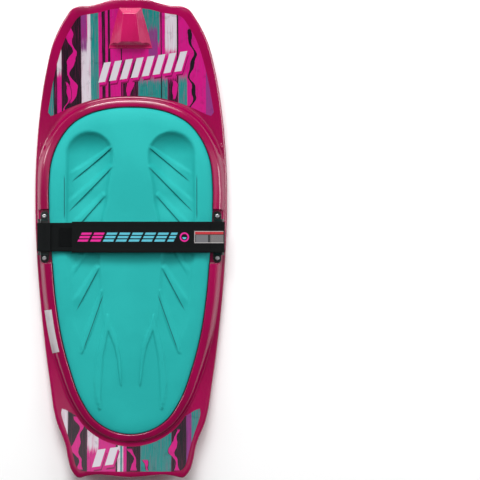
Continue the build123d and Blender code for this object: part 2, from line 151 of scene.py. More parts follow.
class Outline:
    """A closed plan outline, smooth through the points of its right half and mirrored across x = 0."""

    def __init__(self, half: Sequence[Pair], count: int) -> None:
        """Build the outline.

        Args:
            half: Points of the right half in mm, from the nose to the tail.
            count: How many stations go round, an even number.
        """
        self.right = spread_evenly(self._curve([Vector(point) for point in half]), count // 2)
        self.stations = self._close(self.right)

    @staticmethod
    def _curve(points: list[Vector]) -> list[Vector]:
        """Run a smooth curve through the points.

        Args:
            points: The points that it passes through.

        Returns:
            A fine chain of points along the curve.
        """
        spans = [(after - before).length for before, after in zip(points, points[1:])]
        pulls = [Vector((1.0, 0.0))]
        for index in range(1, len(points) - 1):
            before = (points[index] - points[index - 1]) / spans[index - 1]
            after = (points[index + 1] - points[index]) / spans[index]
            total = spans[index - 1] + spans[index]
            pulls.append((before * spans[index] + after * spans[index - 1]) / total)
        pulls.append(Vector((-1.0, 0.0)))
        fineness = 24
        chain = []
        for index, span in enumerate(spans):
            for step in range(fineness):
                share = step / fineness
                square, cube = share**2, share**3
                chain.append(
                    points[index] * (2 * cube - 3 * square + 1)
                    + pulls[index] * (span * (cube - 2 * square + share))
                    + points[index + 1] * (3 * square - 2 * cube)
                    + pulls[index + 1] * (span * (cube - square))
                )
        chain.append(points[-1])
        return chain

    @staticmethod
    def _close(right: list[Vector]) -> list[Station]:
        """Mirror the right half and find the square direction at every point.

        Args:
            right: Points from the nose to the tail.

        Returns:
            The stations, clockwise from the nose.
        """
        stations = []
        for index, point in enumerate(right):
            before = right[max(index - 1, 0)]
            after = right[min(index + 1, len(right) - 1)]
            along = (after - before).normalized()
            if index in (0, len(right) - 1):
                along = Vector((1.0 if index == 0 else -1.0, 0.0))
            stations.append(Station(point, Vector((-along.y, along.x))))
        mirrored = []
        for station in reversed(stations[1:-1]):
            point, normal = station.point, station.normal
            mirrored.append(Station(Vector((-point.x, point.y)), Vector((-normal.x, normal.y))))
        return stations + mirrored

    def nearest(self, goal: Vector) -> Station:
        """Find where the outline comes nearest to a point.

        Args:
            goal: The point in plan.

        Returns:
            The station there.
        """
        count = len(self.stations)
        best = min(range(count), key=lambda index: (self.stations[index].point - goal).length_squared)
        found = self.stations[best]
        closest = (found.point - goal).length
        for other in (best - 1, (best + 1) % count):
            start, end = self.stations[best], self.stations[other]
            run = end.point - start.point
            share = min(max((goal - start.point).dot(run) / run.length_squared, 0.0), 1.0)
            point = between(start.point, end.point, share)
            if (point - goal).length < closest:
                closest = (point - goal).length
                found = Station(point, between(start.normal, end.normal, share).normalized())
        return found


# ---------------------------------------------------------------- mesh helpers


def bent_grid(
    columns: int, rows: int, place: Callable[[int, int], Vector], lay: bool = False
) -> bmesh.types.BMesh:
    """Create a grid and bend it into shape.

    Args:
        columns: How many faces go along each row.
        rows: How many rows of faces there are.
        place: Gives the place in mm of the point at a column and row.
        lay: Whether the grid keeps its columns and rows as a UV map.

    Returns:
        The bent mesh, with points that fell together merged.
    """
    mesh = bmesh.new()
    bmesh.ops.create_grid(mesh, x_segments=columns, y_segments=rows, size=1.0)
    spots = {}
    for vert in mesh.verts:
        spots[vert] = (round((vert.co.x + 1) * columns / 2), round((vert.co.y + 1) * rows / 2))
    if lay:
        layer = mesh.loops.layers.uv.new("UVMap")
        for face in mesh.faces:
            for loop in face.loops:
                loop[layer].uv = spots[loop.vert]
    for vert, (column, row) in spots.items():
        vert.co = place(column, row)
    bmesh.ops.remove_doubles(mesh, verts=mesh.verts, dist=0.01)
    bmesh.ops.recalc_face_normals(mesh, faces=mesh.faces)
    return mesh


def ringed(rings: list[Ring]) -> bmesh.types.BMesh:
    """Skin a closed surface over rings that all have the same number of points.

    Args:
        rings: The rings, the first and last of which close on themselves.

    Returns:
        The closed mesh.
    """
    count = len(rings[0])
    return bent_grid(count, len(rings) - 1, lambda column, row: rings[row][column % count])


def spine(point: Vector, reach: float) -> Vector:
    """Return the point of the middle line, up to reach mm from the origin, that a plan point closes to."""
    return Vector((0.0, min(max(point.y, -reach), reach)))


@dataclass(frozen=True)
class Piece:
    """What a finished mesh is called and how it belongs to the board."""

    name: str
    body: str
    slot: str
    stands_for: tuple[str, ...] = ()
    crease: float = 38.0


def finished(mesh: bmesh.types.BMesh, piece: Piece, material: bpy.types.Material) -> bpy.types.Object:
    """Turn a mesh in mm into an object of the frame.

    Args:
        mesh: The mesh, which is used up.
        piece: Its name, body and the nodes that it stands for.
        material: The finish of its surface.

    Returns:
        The object.
    """
    bmesh.ops.scale(mesh, vec=(MM, MM, MM), verts=mesh.verts)
    return placed(mesh, piece, material)


def placed(mesh: bmesh.types.BMesh, piece: Piece, material: bpy.types.Material) -> bpy.types.Object:
    """Turn a mesh in metres into an object of the frame.

    Args:
        mesh: The mesh, which is used up.
        piece: Its name, body and the nodes that it stands for.
        material: The finish of its surface.

    Returns:
        The object.
    """
    limit = math.radians(piece.crease)
    for face in mesh.faces:
        face.smooth = True
    for edge in mesh.edges:
        edge.smooth = not edge.is_manifold or edge.calc_face_angle(0.0) < limit
    data = bpy.data.meshes.new(piece.name)
    mesh.to_mesh(data)
    mesh.free()
    data.materials.append(material)
    made = bpy.data.objects.new(piece.name, data)
    bpy.context.scene.collection.objects.link(made)
    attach(made, piece.body)
    if piece.stands_for:
        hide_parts(*piece.stands_for)
    LOG.info("%s: %d faces", piece.name, len(data.polygons))
    return made


def merged_copy(node: str, piece: Piece, material: bpy.types.Material, bevel: float) -> bpy.types.Object:
    """Merge a copy of a node's loose triangles and round its edges.

    Args:
        node: The node to copy.
        piece: The new piece.
        material: Its finish.
        bevel: The width of the rounding in mm.

    Returns:
        The object.
    """
    mesh = bmesh.new()
    mesh.from_mesh(bpy.data.objects[node].data)
    bmesh.ops.remove_doubles(mesh, verts=mesh.verts, dist=0.00002)
    bmesh.ops.dissolve_limit(mesh, angle_limit=math.radians(1.0), verts=mesh.verts, edges=mesh.edges)
    made = placed(mesh, piece, material)
    rounding = made.modifiers.new("rounding", "BEVEL")
    rounding.width = bevel * MM
    rounding.segments = 3
    rounding.limit_method = "ANGLE"
    rounding.angle_limit = math.radians(40)
    return made


# ---------------------------------------------------------------- shader helpers


def shade(red: int, green: int, blue: int) -> Colour:
    """Turn a colour as a screen shows it into the light values that a shader takes.

    Args:
        red: 0 to 255.
        green: 0 to 255.
        blue: 0 to 255.

    Returns:
        Linear red, green, blue and alpha.
    """
    parts = [part / 255 for part in (red, green, blue)]
    linear = [part / 12.92 if part <= 0.04045 else ((part + 0.055) / 1.055) ** 2.4 for part in parts]
    return (linear[0], linear[1], linear[2], 1.0)


class Value:
    """A number socket on which arithmetic adds Math nodes."""

    def __init__(self, graph: "Graph", socket: bpy.types.NodeSocket) -> None:
        """Wrap a socket of a graph."""
        self.graph = graph
        self.socket = socket

    def maths(self, operation: str, *operands: "Value | float") -> "Value":
        """Add one Math node.

        Args:
            operation: The node's operation.
            operands: Its inputs in order.

        Returns:
            The node's result.
        """
        return self.graph.value("ShaderNodeMath", {"operation": operation}, dict(enumerate(operands)))

    def __add__(self, other: "Value | float") -> "Value":
        """Return self + other."""
        return self.maths("ADD", self, other)

    def __radd__(self, other: float) -> "Value":
        """Return other + self."""
        return self.maths("ADD", other, self)

    def __sub__(self, other: "Value | float") -> "Value":
        """Return self - other."""
        return self.maths("SUBTRACT", self, other)

    def __rsub__(self, other: float) -> "Value":
        """Return other - self."""
        return self.maths("SUBTRACT", other, self)

    def __mul__(self, other: "Value | float") -> "Value":
        """Return self x other."""
        return self.maths("MULTIPLY", self, other)

    def __rmul__(self, other: float) -> "Value":
        """Return other x self."""
        return self.maths("MULTIPLY", other, self)

    def __truediv__(self, other: "Value | float") -> "Value":
        """Return self / other."""
        return self.maths("DIVIDE", self, other)

    def __rtruediv__(self, other: float) -> "Value":
        """Return other / self."""
        return self.maths("DIVIDE", other, self)

    def __abs__(self) -> "Value":
        """Return the size of the value."""
        return self.maths("ABSOLUTE", self)

    def least(self, other: "Value | float") -> "Value":
        """Return the smaller of two values."""
        return self.maths("MINIMUM", self, other)

    def root(self) -> "Value":
        """Return the square root."""
        return self.maths("SQRT", self)

    def wave(self) -> "Value":
        """Return the sine."""
        return self.maths("SINE", self)

    def part(self) -> "Value":
        """Return what is left after the whole number below."""
        return self.maths("FRACT", self)

    def rise(self, low: float, high: float) -> "Value":
        """Rise smoothly from 0 at low to 1 at high.

        Args:
            low: Where the rise starts.
            high: Where it ends.

        Returns:
            The share.
        """
        settings = {"interpolation_type": "SMOOTHSTEP"}
        return self.graph.value("ShaderNodeMapRange", settings, {0: self, 1: low, 2: high, 3: 0.0, 4: 1.0})

    def fall(self, low: float, high: float) -> "Value":
        """Return 1 below low and 0 above high, smoothly."""
        return 1 - self.rise(low, high)

    def inside(self, low: float, high: float, soft: float) -> "Value":
        """Mark a band.

        Args:
            low: Where the band starts.
            high: Where it ends.
            soft: How wide its edges are.

        Returns:
            1 inside the band and 0 outside.
        """
        return self.rise(low - soft, low + soft) * self.fall(high - soft, high + soft)


class Graph:
    """The node tree of one material, around one Principled shader."""

    def __init__(self, name: str) -> None:
        """Start a material.

        Args:
            name: The material's name.
        """
        self.material = bpy.data.materials.new(name)
        self.material.use_nodes = True
        self.tree = self.material.node_tree
        self.shader = self.tree.nodes["Principled BSDF"]

    def node(self, kind: str, settings: dict[str, object], inputs: dict[int | str, object]) -> bpy.types.Node:
        """Add one node.

        Args:
            kind: The node's type.
            settings: Its own settings, which come first.
            inputs: Values or links for its sockets.

        Returns:
            The node.
        """
        made = self.tree.nodes.new(kind)
        for key, setting in settings.items():
            setattr(made, key, setting)
        for key, given in inputs.items():
            self.feed(made.inputs[key], given)
        return made

    def feed(self, socket: bpy.types.NodeSocket, given: object) -> None:
        """Give a socket a value or a link.

        Args:
            socket: The input socket.
            given: A number, a colour, a Value or another node's socket.
        """
        if isinstance(given, Value):
            self.tree.links.new(given.socket, socket)
        elif isinstance(given, bpy.types.NodeSocket):
            self.tree.links.new(given, socket)
        else:
            socket.default_value = given

    def value(self, kind: str, settings: dict[str, object], inputs: dict[int | str, object]) -> Value:
        """Add one node and return its first output as a value."""
        return Value(self, self.node(kind, settings, inputs).outputs[0])

    def spot(self) -> bpy.types.NodeSocket:
        """Return the object's own coordinates in metres."""
        return self.node("ShaderNodeTexCoord", {}, {}).outputs["Object"]

    def place(self) -> tuple[Value, Value, Value]:
        """Return the object's own x, y and z in mm."""
        inputs = {0: self.spot(), "Scale": 1 / MM}
        grown = self.node("ShaderNodeVectorMath", {"operation": "SCALE"}, inputs).outputs[0]
        apart = self.node("ShaderNodeSeparateXYZ", {}, {0: grown})
        return tuple(Value(self, socket) for socket in apart.outputs)

    def lay(self) -> tuple[Value, Value]:
        """Return how far along and across a strap a point lies, in mm."""
        spot = self.node("ShaderNodeUVMap", {"uv_map": "UVMap"}, {}).outputs[0]
        apart = self.node("ShaderNodeSeparateXYZ", {}, {0: spot})
        return Value(self, apart.outputs[0]), Value(self, apart.outputs[1])

    def at(self, x: Value | float, y: Value | float, z: Value | float) -> bpy.types.NodeSocket:
        """Return the vector of three values."""
        return self.node("ShaderNodeCombineXYZ", {}, {0: x, 1: y, 2: z}).outputs[0]

    def mottle(self, spot: bpy.types.NodeSocket | None, scale: float, detail: float = 3.0) -> Value:
        """Add a noise from 0 to 1.

        Args:
            spot: The coordinates, or None for the object's own in metres.
            scale: How fine it is.
            detail: How many finer layers it has.

        Returns:
            The noise.
        """
        if spot is None:
            spot = self.spot()
        return self.value("ShaderNodeTexNoise", {}, {"Vector": spot, "Scale": scale, "Detail": detail})

    def blend(self, mask: Value, base: object, over: object) -> bpy.types.NodeSocket:
        """Lay one colour over another.

        Args:
            mask: 1 where the second colour shows.
            base: The colour or link underneath.
            over: The colour or link on top.

        Returns:
            The mixed colour.
        """
        return self.node("ShaderNodeMix", {"data_type": "RGBA"}, {0: mask, 6: base, 7: over}).outputs[2]

    def bump(self, height: Value, depth: float, strength: float = 1.0) -> None:
        """Raise the surface.

        Args:
            height: The height from 0 to 1.
            depth: How many mm a height of 1 stands for.
            strength: How strongly it shows.
        """
        inputs = {"Strength": strength, "Distance": depth * MM, "Height": height}
        made = self.node("ShaderNodeBump", {}, inputs)
        self.feed(self.shader.inputs["Normal"], made.outputs[0])

    def dress(self, **sockets: object) -> bpy.types.Material:
        """Feed the shader.

        Args:
            sockets: Values or links, by socket name with underscores for spaces.

        Returns:
            The material.
        """
        for name, given in sockets.items():
            self.feed(self.shader.inputs[name.replace("_", " ")], given)
        return self.material


# ---------------------------------------------------------------- finishes


@dataclass(frozen=True)
class GlossMoulding:
    """Glossy moulded plastic with faint flow marks and handling scuffs."""

    colour: Colour
    deep: Colour
    roughness: float = 0.2
    coat: float = 0.2

    def make(self, name: str) -> bpy.types.Material:
        """Build the material.

        Args:
            name: Its name.

        Returns:
            The material.
        """
        graph = Graph(name)
        x, y, z = graph.place()
        flow = graph.mottle(graph.at(x * 0.012, y * 0.003, z * 0.02), 1.0, 4.0)
        peel = graph.mottle(None, 420.0, 2.0)
        scuff = graph.mottle(graph.at(x * 0.35, y * 0.02, z * 0.1), 1.0, 5.0).rise(0.62, 0.78)
        colour = graph.blend(flow.rise(0.3, 0.7), self.colour, self.deep)
        graph.bump(peel * 0.5 + flow, 0.12, 0.35)
        return graph.dress(
            Base_Color=colour,
            Roughness=self.roughness + flow * 0.06 + scuff * 0.12,
            Coat_Weight=self.coat,
            Coat_Roughness=0.06,
        )


@dataclass(frozen=True)
class Crease:
    """A sharp moulded step on both halves of the pad, given on its right half in mm; painted shade darkens
    the foam along it.
    """

    inner: Pair
    outer: Pair


PAD_CREASES = (
    Crease((51, 241), (163, 147)),
    Crease((51, 188), (171, 66)),
    Crease((72, 110), (150, 22)),
    Crease((87, -84), (148, -198)),
    Crease((73, -150), (127, -300)),
    Crease((176, 168), (176, 44)),
)


@dataclass(frozen=True)
class PadFoam:
    """Closed-cell foam with a fine skin, and painted shade along its moulded steps."""

    colour: Colour
    deep: Colour
    # step: the colour of the painted shade along the moulded steps, where shadow falls in the creases.
    step: Colour

    def _shaded_crease_mask(self, graph: Graph, x: Value, y: Value) -> Value:
        """Mark the sharp moulded steps, where the foam gets painted shade and a sunken bump.

        Args:
            graph: The material's graph; not used.
            x: Distance from the middle line in mm.
            y: Distance towards the nose in mm.

        Returns:
            1 on a step and 0 away from it.
        """
        total: Value | float = 0.0
        for crease in PAD_CREASES:
            start, end = Vector(crease.inner), Vector(crease.outer)
            along = (end - start).normalized()
            reach = (x - start.x) * along.x + (y - start.y) * along.y
            aside = abs((x - start.x) * along.y - (y - start.y) * along.x)
            length = (end - start).length
            mask = aside.fall(0.5, 1.7) * reach.inside(4.0, length - 14.0, 10.0)
            total = mask + total
        return total.least(1.0)

    def make(self, name: str) -> bpy.types.Material:
        """Build the material.

        Args:
            name: Its name.

        Returns:
            The material.
        """
        graph = Graph(name)
        x, y, _ = graph.place()
        cells = graph.mottle(None, 900.0, 2.0)
        skin = graph.mottle(None, 160.0, 4.0)
        cloud = graph.mottle(None, 9.0, 3.0)
        steps = self._shaded_crease_mask(graph, abs(x), y)
        colour = graph.blend(cloud.rise(0.35, 0.7) * 0.5 + skin * 0.2, self.colour, self.deep)
        # Painted shade: the foam is darkened along the moulded steps, where shadow falls in the creases.
        colour = graph.blend(steps * 0.8, colour, self.step)
        graph.bump(cells * 0.5 + skin - steps * 2.0, 0.35, 0.5)
        return graph.dress(
            Base_Color=colour,
            Roughness=0.66 + cells * 0.15,
            Specular_IOR_Level=0.3,
        )


class Ink(Enum):
    """The inks of the printed films."""

    PINK = (190, 12, 118)
    TEAL = (14, 124, 120)
    DARK = (18, 12, 22)
    PALE = (198, 192, 200)
    PLUM = (124, 48, 116)

    @property
    def light(self) -> Colour:
        """Return the ink as a shader colour."""
        return shade(*self.value)


@dataclass(frozen=True)
class Stripe:
    """A brushed stripe that runs along the board, in mm, from end to end unless low or high stops it."""

    start: float
    end: float
    ink: Ink
    low: float | None = None
    high: float | None = None
    cover: float = 1.0


@dataclass(frozen=True)
class Flame:
    """A wavy tongue of ink that runs along the board, in mm."""

    middle: float
    width: float
    ink: Ink
    low: float
    high: float


@dataclass(frozen=True)
class Bars:
    """A row of slanted pale bars with a deep shadow, in mm."""

    start: Pair
    length: float
    height: float
    pitch: float
    climb: float = 0.14


@dataclass(frozen=True)
class PrintedFilm:
    """A printed in-mould film: brushed stripes, flames, slanted bars and a dotted tint."""

    base: Ink
    stripes: tuple[Stripe, ...]
    flames: tuple[Flame, ...]
    bars: Bars

    def _bars(self, x: Value, y: Value, shift: float) -> Value:
        """Mark the row of slanted bars.

        Args:
            x: Distance to the right in mm.
            y: Distance towards the nose in mm.
            shift: How far the bars are moved down and to the right.

        Returns:
            1 on the bars.
        """
        bars = self.bars
        run = x - (bars.start[0] + shift * 0.35)
        rise = y - (bars.start[1] - shift) - run * bars.climb
        slant = run - rise * 0.32
        rows = rise.inside(0.0, bars.height, 0.4) * slant.inside(0.0, bars.length, 0.4)
        return rows * (slant / bars.pitch).part().inside(0.04, 0.68, 0.01)

    def make(self, name: str) -> bpy.types.Material:
        """Build the material.

        Args:
            name: Its name.

        Returns:
            The material.
        """
        graph = Graph(name)
        x, y, _ = graph.place()
        fine = graph.mottle(graph.at(x * 0.8, y * 0.014, 11.0), 1.0, 3.0)
        ragged = graph.mottle(graph.at(x * 0.05, y * 0.05, 5.0), 1.0, 4.0)
        drift = x + (fine - 0.5) * 3.0
        colour = graph.blend(fine.rise(0.5, 0.7) * 0.5, self.base.light, Ink.PLUM.light)
        for stripe in self.stripes:
            mask = drift.inside(stripe.start, stripe.end, 0.8)
            reach = y + (fine - 0.5) * 90
            if stripe.low is not None:
                mask = mask * reach.rise(stripe.low - 8, stripe.low + 8)
            if stripe.high is not None:
                mask = mask * reach.fall(stripe.high - 8, stripe.high + 8)
            brushed = fine.rise(0.25, 0.55) * (1 - stripe.cover) + stripe.cover
            colour = graph.blend(mask * brushed, colour, stripe.ink.light)
        colour = graph.blend(fine.fall(0.3, 0.38) * 0.55, colour, Ink.DARK.light)
        for flame in self.flames:
            bend = (y * 0.062 + flame.middle).wave() * 7 + (y * 0.15 + flame.middle).wave() * 2.5
            width = ((y * 0.085 + flame.middle).wave() * 0.45 + 0.8) * flame.width
            away = abs(x - flame.middle + bend + (ragged - 0.5) * 7)
            reach = y.rise(flame.low, flame.low + 6) * y.fall(flame.high - 6, flame.high)
            colour = graph.blend((width + 1.6 - away).rise(0.0, 0.8) * reach, colour, Ink.DARK.light)
            colour = graph.blend((width - away).rise(0.0, 0.8) * reach, colour, flame.ink.light)
        colour = graph.blend(self._bars(x, y, 11.0), colour, shade(120, 4, 70))
        colour = graph.blend(self._bars(x, y, 7.0), colour, Ink.PINK.light)
        colour = graph.blend(self._bars(x, y, 0.0), colour, Ink.PALE.light)
        dot_pitch = 3.0
        cell_x = (x / dot_pitch).part() - 0.5
        cell_y = (y / dot_pitch).part() - 0.5
        size = ragged.rise(0.5, 0.75) * 0.14
        dots = (size - cell_x * cell_x - cell_y * cell_y).rise(0.0, 0.03)
        colour = graph.blend(dots * 0.6 * (1 - self._bars(x, y, 0.0)), colour, Ink.DARK.light)
        graph.bump(graph.mottle(None, 420.0, 2.0), 0.06, 0.3)
        return graph.dress(
            Base_Color=colour,
            Roughness=0.22 + fine * 0.08,
            Coat_Weight=0.5,
            Coat_Roughness=0.06,
        )


NOSE_PRINT = PrintedFilm(
    Ink.PINK,
    (
        Stripe(-226, -203, Ink.TEAL, cover=0.3),
        Stripe(-206, -196, Ink.DARK, cover=0.5),
        Stripe(-196, -183, Ink.PALE, low=440, cover=0.4),
        Stripe(-184, -131, Ink.DARK, cover=0.8),
        Stripe(-131, -112, Ink.PALE, high=520, cover=0.6),
        Stripe(-131, -116, Ink.PLUM, low=500, cover=0.3),
        Stripe(-114, -98, Ink.PALE, cover=0.3),
        Stripe(-106, -85, Ink.TEAL, cover=0.6),
        Stripe(-76, -67, Ink.DARK, cover=0.6),
        Stripe(-60, -54, Ink.DARK, cover=0.8),
        Stripe(-26, -23, Ink.DARK),
        Stripe(-22, 20, Ink.DARK, high=470, cover=0.5),
        Stripe(32, 78, Ink.TEAL, low=520, cover=0.5),
        Stripe(48, 72, Ink.PLUM, low=480, high=560, cover=0.4),
        Stripe(20, 98, Ink.TEAL, high=425, cover=0.8),
        Stripe(80, 83, Ink.DARK),
        Stripe(92, 123, Ink.PALE, low=500, cover=0.5),
        Stripe(98, 126, Ink.DARK, high=425, cover=0.5),
        Stripe(123, 127, Ink.DARK, low=420),
        Stripe(127, 150, Ink.TEAL, high=430, cover=0.6),
        Stripe(200, 226, Ink.PLUM, high=480, cover=0.3),
    ),
    (
        Flame(-158, 9, Ink.PINK, 360, 600),
        Flame(-170, 5, Ink.PINK, 330, 420),
        Flame(-8, 8, Ink.PINK, 370, 450),
        Flame(163, 3.5, Ink.DARK, 340, 560),
        Flame(112, 6, Ink.PINK, 370, 425),
    ),
    Bars((-88, 416), 232, 50, 29),
)
TAIL_PRINT = PrintedFilm(
    Ink.PINK,
    (
        Stripe(-186, -166, Ink.PALE, cover=0.3),
        Stripe(-168, -116, Ink.DARK, cover=0.8),
        Stripe(-116, -86, Ink.PALE, low=-560, cover=0.3),
        Stripe(-40, -35, Ink.DARK),
        Stripe(-35, -20, Ink.PALE, cover=0.5),
        Stripe(-28, -22, Ink.TEAL, cover=0.5),
        Stripe(-11, 26, Ink.DARK, cover=0.8),
        Stripe(26, 108, Ink.TEAL, cover=0.7),
        Stripe(108, 152, Ink.DARK, cover=0.8),
        Stripe(148, 164, Ink.PLUM, cover=0.5),
        Stripe(162, 190, Ink.TEAL, cover=0.5),
    ),
    (
        Flame(-140, 9, Ink.PINK, -616, -470),
        Flame(4, 8, Ink.PINK, -618, -556),
        Flame(44, 9, Ink.PINK, -618, -585),
        Flame(118, 8, Ink.PINK, -618, -505),
    ),
    Bars((-104, -607), 62, 44, 34),
)


@dataclass(frozen=True)
class Weave:
    """Woven tape with a rib across and stitched edges."""

    colour: Colour
    thread: Colour
    pitch: float
    half_width: float
    motif: bool = False

    def _printed(
        self, graph: Graph, along: Value, across: Value, colour: bpy.types.NodeSocket
    ) -> bpy.types.NodeSocket:
        """Print slanted bars in two colours and a round badge of rings.

        Args:
            graph: The material's graph.
            along: Distance along the strap in mm.
            across: Distance across the strap in mm.
            colour: The cloth's own colour.

        Returns:
            The colour with the print on it.
        """
        pink, teal = shade(214, 40, 140), shade(88, 178, 196)
        bar_pitch, lane_pitch, change, badge = 34.0, 9.0, -66.0, 144.0
        slant = along - across * 0.5
        bars = (slant / bar_pitch).part().inside(0.05, 0.86, 0.02)
        lanes = abs((across / lane_pitch).part() - 0.5).rise(0.14, 0.2)
        mask = bars * lanes * abs(across).fall(12.4, 13.2) * slant.inside(-134, 121, 0.5)
        colour = graph.blend(mask * slant.fall(change - 1, change), colour, pink)
        colour = graph.blend(mask * slant.rise(change - 1, change), colour, teal)
        aside = along - badge
        reach = (aside * aside + across * across).root()
        colour = graph.blend(reach.inside(8.5, 12.5, 0.4), colour, pink)
        return graph.blend(reach.fall(5.2, 6.0) * across.fall(-1.0, 0.0), colour, teal)

    def make(self, name: str) -> bpy.types.Material:
        """Build the material.

        Args:
            name: Its name.

        Returns:
            The material.
        """
        graph = Graph(name)
        along, across = graph.lay()
        turn = math.tau / self.pitch
        warp = (across * turn).wave() * 0.5 + 0.5
        weft = (along * turn + (across * turn * 0.5).wave() * 1.5).wave() * 0.5 + 0.5
        edge = abs(across)
        inset = self.half_width - 6.0
        seam = edge.inside(inset - 0.5, inset + 0.5, 0.3)
        stitch = seam * (along / 4.0).part().inside(0.15, 0.85, 0.06)
        fade = graph.mottle(graph.at(along * 0.02, across * 0.05, 0.0), 1.0, 4.0)
        lint = graph.mottle(graph.at(along * 0.5, across * 0.5, 2.0), 1.0, 4.0)
        colour = graph.blend(warp * weft * 0.6 + fade * 0.3, self.colour, self.thread)
        if self.motif:
            colour = self._printed(graph, along, across, colour)
        colour = graph.blend(stitch * 0.6, colour, self.thread)
        graph.bump(warp * weft + lint * 0.5 + stitch * 1.6 - seam * 1.2, 0.3, 0.8)
        return graph.dress(Base_Color=colour, Roughness=0.75 + warp * 0.15, Specular_IOR_Level=0.16)


@dataclass(frozen=True)
class TapePile:
    """Hook or loop tape: short bristles on a woven back."""

    colour: Colour
    thread: Colour
    pitch: float

    def make(self, name: str) -> bpy.types.Material:
        """Build the material.

        Args:
            name: Its name.

        Returns:
            The material.
        """
        graph = Graph(name)
        along, across = graph.lay()
        turn = math.tau / self.pitch
        rows = (along * turn).wave() * (across * turn).wave()
        fuzz = graph.mottle(graph.at(along, across, 0.0), 1.3, 5.0)
        graph.bump(rows * 0.5 + fuzz, 0.8, 1.0)
        colour = graph.blend(fuzz.rise(0.4, 0.7), self.colour, self.thread)
        return graph.dress(Base_Color=colour, Roughness=0.8 + fuzz * 0.1, Specular_IOR_Level=0.1)


@dataclass(frozen=True)
class WovenLabel:
    """A woven care label without words: a border, a red band and ruled grey blocks."""

    start: float
    end: float
    half_width: float

    def make(self, name: str) -> bpy.types.Material:
        """Build the material.

        Args:
            name: Its name.

        Returns:
            The material.
        """
        graph = Graph(name)
        along, across = graph.lay()
        cloth, line = shade(24, 24, 27), shade(196, 190, 190)
        aside, half = abs(across), self.half_width
        border = along.inside(self.start + 2, self.end, 0.3) * aside.fall(half - 2.2, half - 1.8)
        inner = along.inside(self.start + 3.2, self.end, 0.3) * aside.fall(half - 3.4, half - 3.0)
        red = inner * across.rise(7.2, 7.8)
        lower = inner * across.fall(5.6, 6.2)
        block = lower * along.inside(self.start + 6, self.start + 38, 0.4)
        rules = (across / 2.6).part().rise(0.4, 0.5)
        ruled = rules * lower * along.rise(self.start + 43, self.start + 44)
        colour = graph.blend(border, cloth, line)
        colour = graph.blend(inner, colour, cloth)
        colour = graph.blend(red, colour, shade(176, 22, 34))
        colour = graph.blend(block * 0.8, colour, shade(112, 112, 116))
        colour = graph.blend(ruled * 0.45, colour, line)
        weave = (along * 9).wave() * (across * 9).wave()
        graph.bump(weave, 0.1, 0.6)
        return graph.dress(Base_Color=colour, Roughness=0.55 + weave * 0.1)


@dataclass(frozen=True)
class HardFinish:
    """A hard finish with a fine grain: moulded nylon, rubber, steel, brass, foil or rigid foam."""

    colour: Colour
    worn: Colour
    roughness: float
    metallic: float = 0.0
    grain: float = 500.0
    depth: float = 0.05
    coat: float = 0.0
    brushed: bool = False

    def make(self, name: str) -> bpy.types.Material:
        """Build the material.

        Args:
            name: Its name.

        Returns:
            The material.
        """
        graph = Graph(name)
        x, y, z = graph.place()
        stretch = 0.04 if self.brushed else 1.0
        grain = graph.mottle(graph.at(x * MM, y * (MM * stretch), z * MM), self.grain, 4.0)
        wear = graph.mottle(None, 35.0, 5.0)
        graph.bump(grain, self.depth, 0.6)
        return graph.dress(
            Base_Color=graph.blend(wear.rise(0.45, 0.75) * 0.6 + grain * 0.25, self.colour, self.worn),
            Roughness=self.roughness + grain * 0.12 + wear * 0.06,
            Metallic=self.metallic,
            Coat_Weight=self.coat,
            Coat_Roughness=0.08,
        )


# ---------------------------------------------------------------- the board's form


@dataclass(frozen=True)
class Form:
    """The lines that the skins, films and pad share, in mm."""

    rail: float = 30.0
    parting: float = 17.0
    floor: float = 24.0
    rim_root: float = 38.0
    rim_slope: float = 0.554
    notch_centre: float = 5.0
    notch_half: float = 73.0
    notch_floor: float = 40.0

    def rocker(self, y: float) -> float:
        """Return the height of the keel line, flat amidships and rising to both ends.

        Args:
            y: How far towards the nose, in mm.

        Returns:
            The height in mm.
        """
        nose_start, nose_radius = 150.0, 1715.0
        tail_start, tail_radius = -200.0, 2509.0
        if y > nose_start:
            return nose_radius - math.sqrt(nose_radius**2 - (y - nose_start) ** 2)
        if y < tail_start:
            return tail_radius - math.sqrt(tail_radius**2 - (y - tail_start) ** 2)
        return 0.0

    def deck(self, y: float) -> float:
        """Return the height of the flat deck flange."""
        return self.rocker(y) + self.rail

    def rim_top(self, y: float) -> float:
        """Return the height of the rim round the pad."""
        return through_three(((-650, 66), (-25, 56), (600, 66)), y)

    def pad_top(self, y: float) -> float:
        """Return the height of the pad's crown."""
        return through_three(((-560, 60), (-40, 66), (420, 61)), y)

    def rim_offset(self, z: float) -> float:
        """Return how far outside the pad's edge the rim's sloping side is at a height."""
        return self.rim_root - (z - self.floor) * self.rim_slope


BOARD_HALF = (
    (0, 635), (48, 632.5), (80, 623.5), (108, 617.5), (134, 616.5), (154, 609), (173, 585),
    (202, 531), (226, 443), (244, 330), (254, 210), (256.5, 95), (251, -62), (238, -216),
    (218, -375), (199, -485), (174, -550), (167, -585), (157, -616), (140, -634.5),
    (116, -630.5), (90, -627.5), (60, -629), (30, -632), (0, -634),
)  # fmt: skip
PAD_HALF = (
    (0, 350), (66, 344.5), (110, 332), (152, 308), (188, 263.5), (210, 209), (217.5, 141),
    (216.5, 60), (209, -56), (199.7, -162), (182.5, -269), (161, -349), (131, -429),
    (93, -483), (49, -510), (0, -519),
)  # fmt: skip
RAIL_SECTION = ((5, 30), (3.2, 29.4), (1.5, 28.2), (0.4, 26.3), (0, 24), (0, 20), (0, 17.4), (0.5, 17.1))
FIN_LINES = {
    "nose": ((330, 9.5), (458, 18.5), (582, 54.5)),
    "tail": ((-346, 4.2), (-471, 7.0), (-596, 31.3)),
}
FIN_SECTION = (
    (0, 1), (0, 0.5), (0, 0.12), (0.12, 0), (0.5, 0),
    (0.88, 0), (1, 0.12), (1, 0.5), (1, 1), (0.5, 1),
)  # fmt: skip


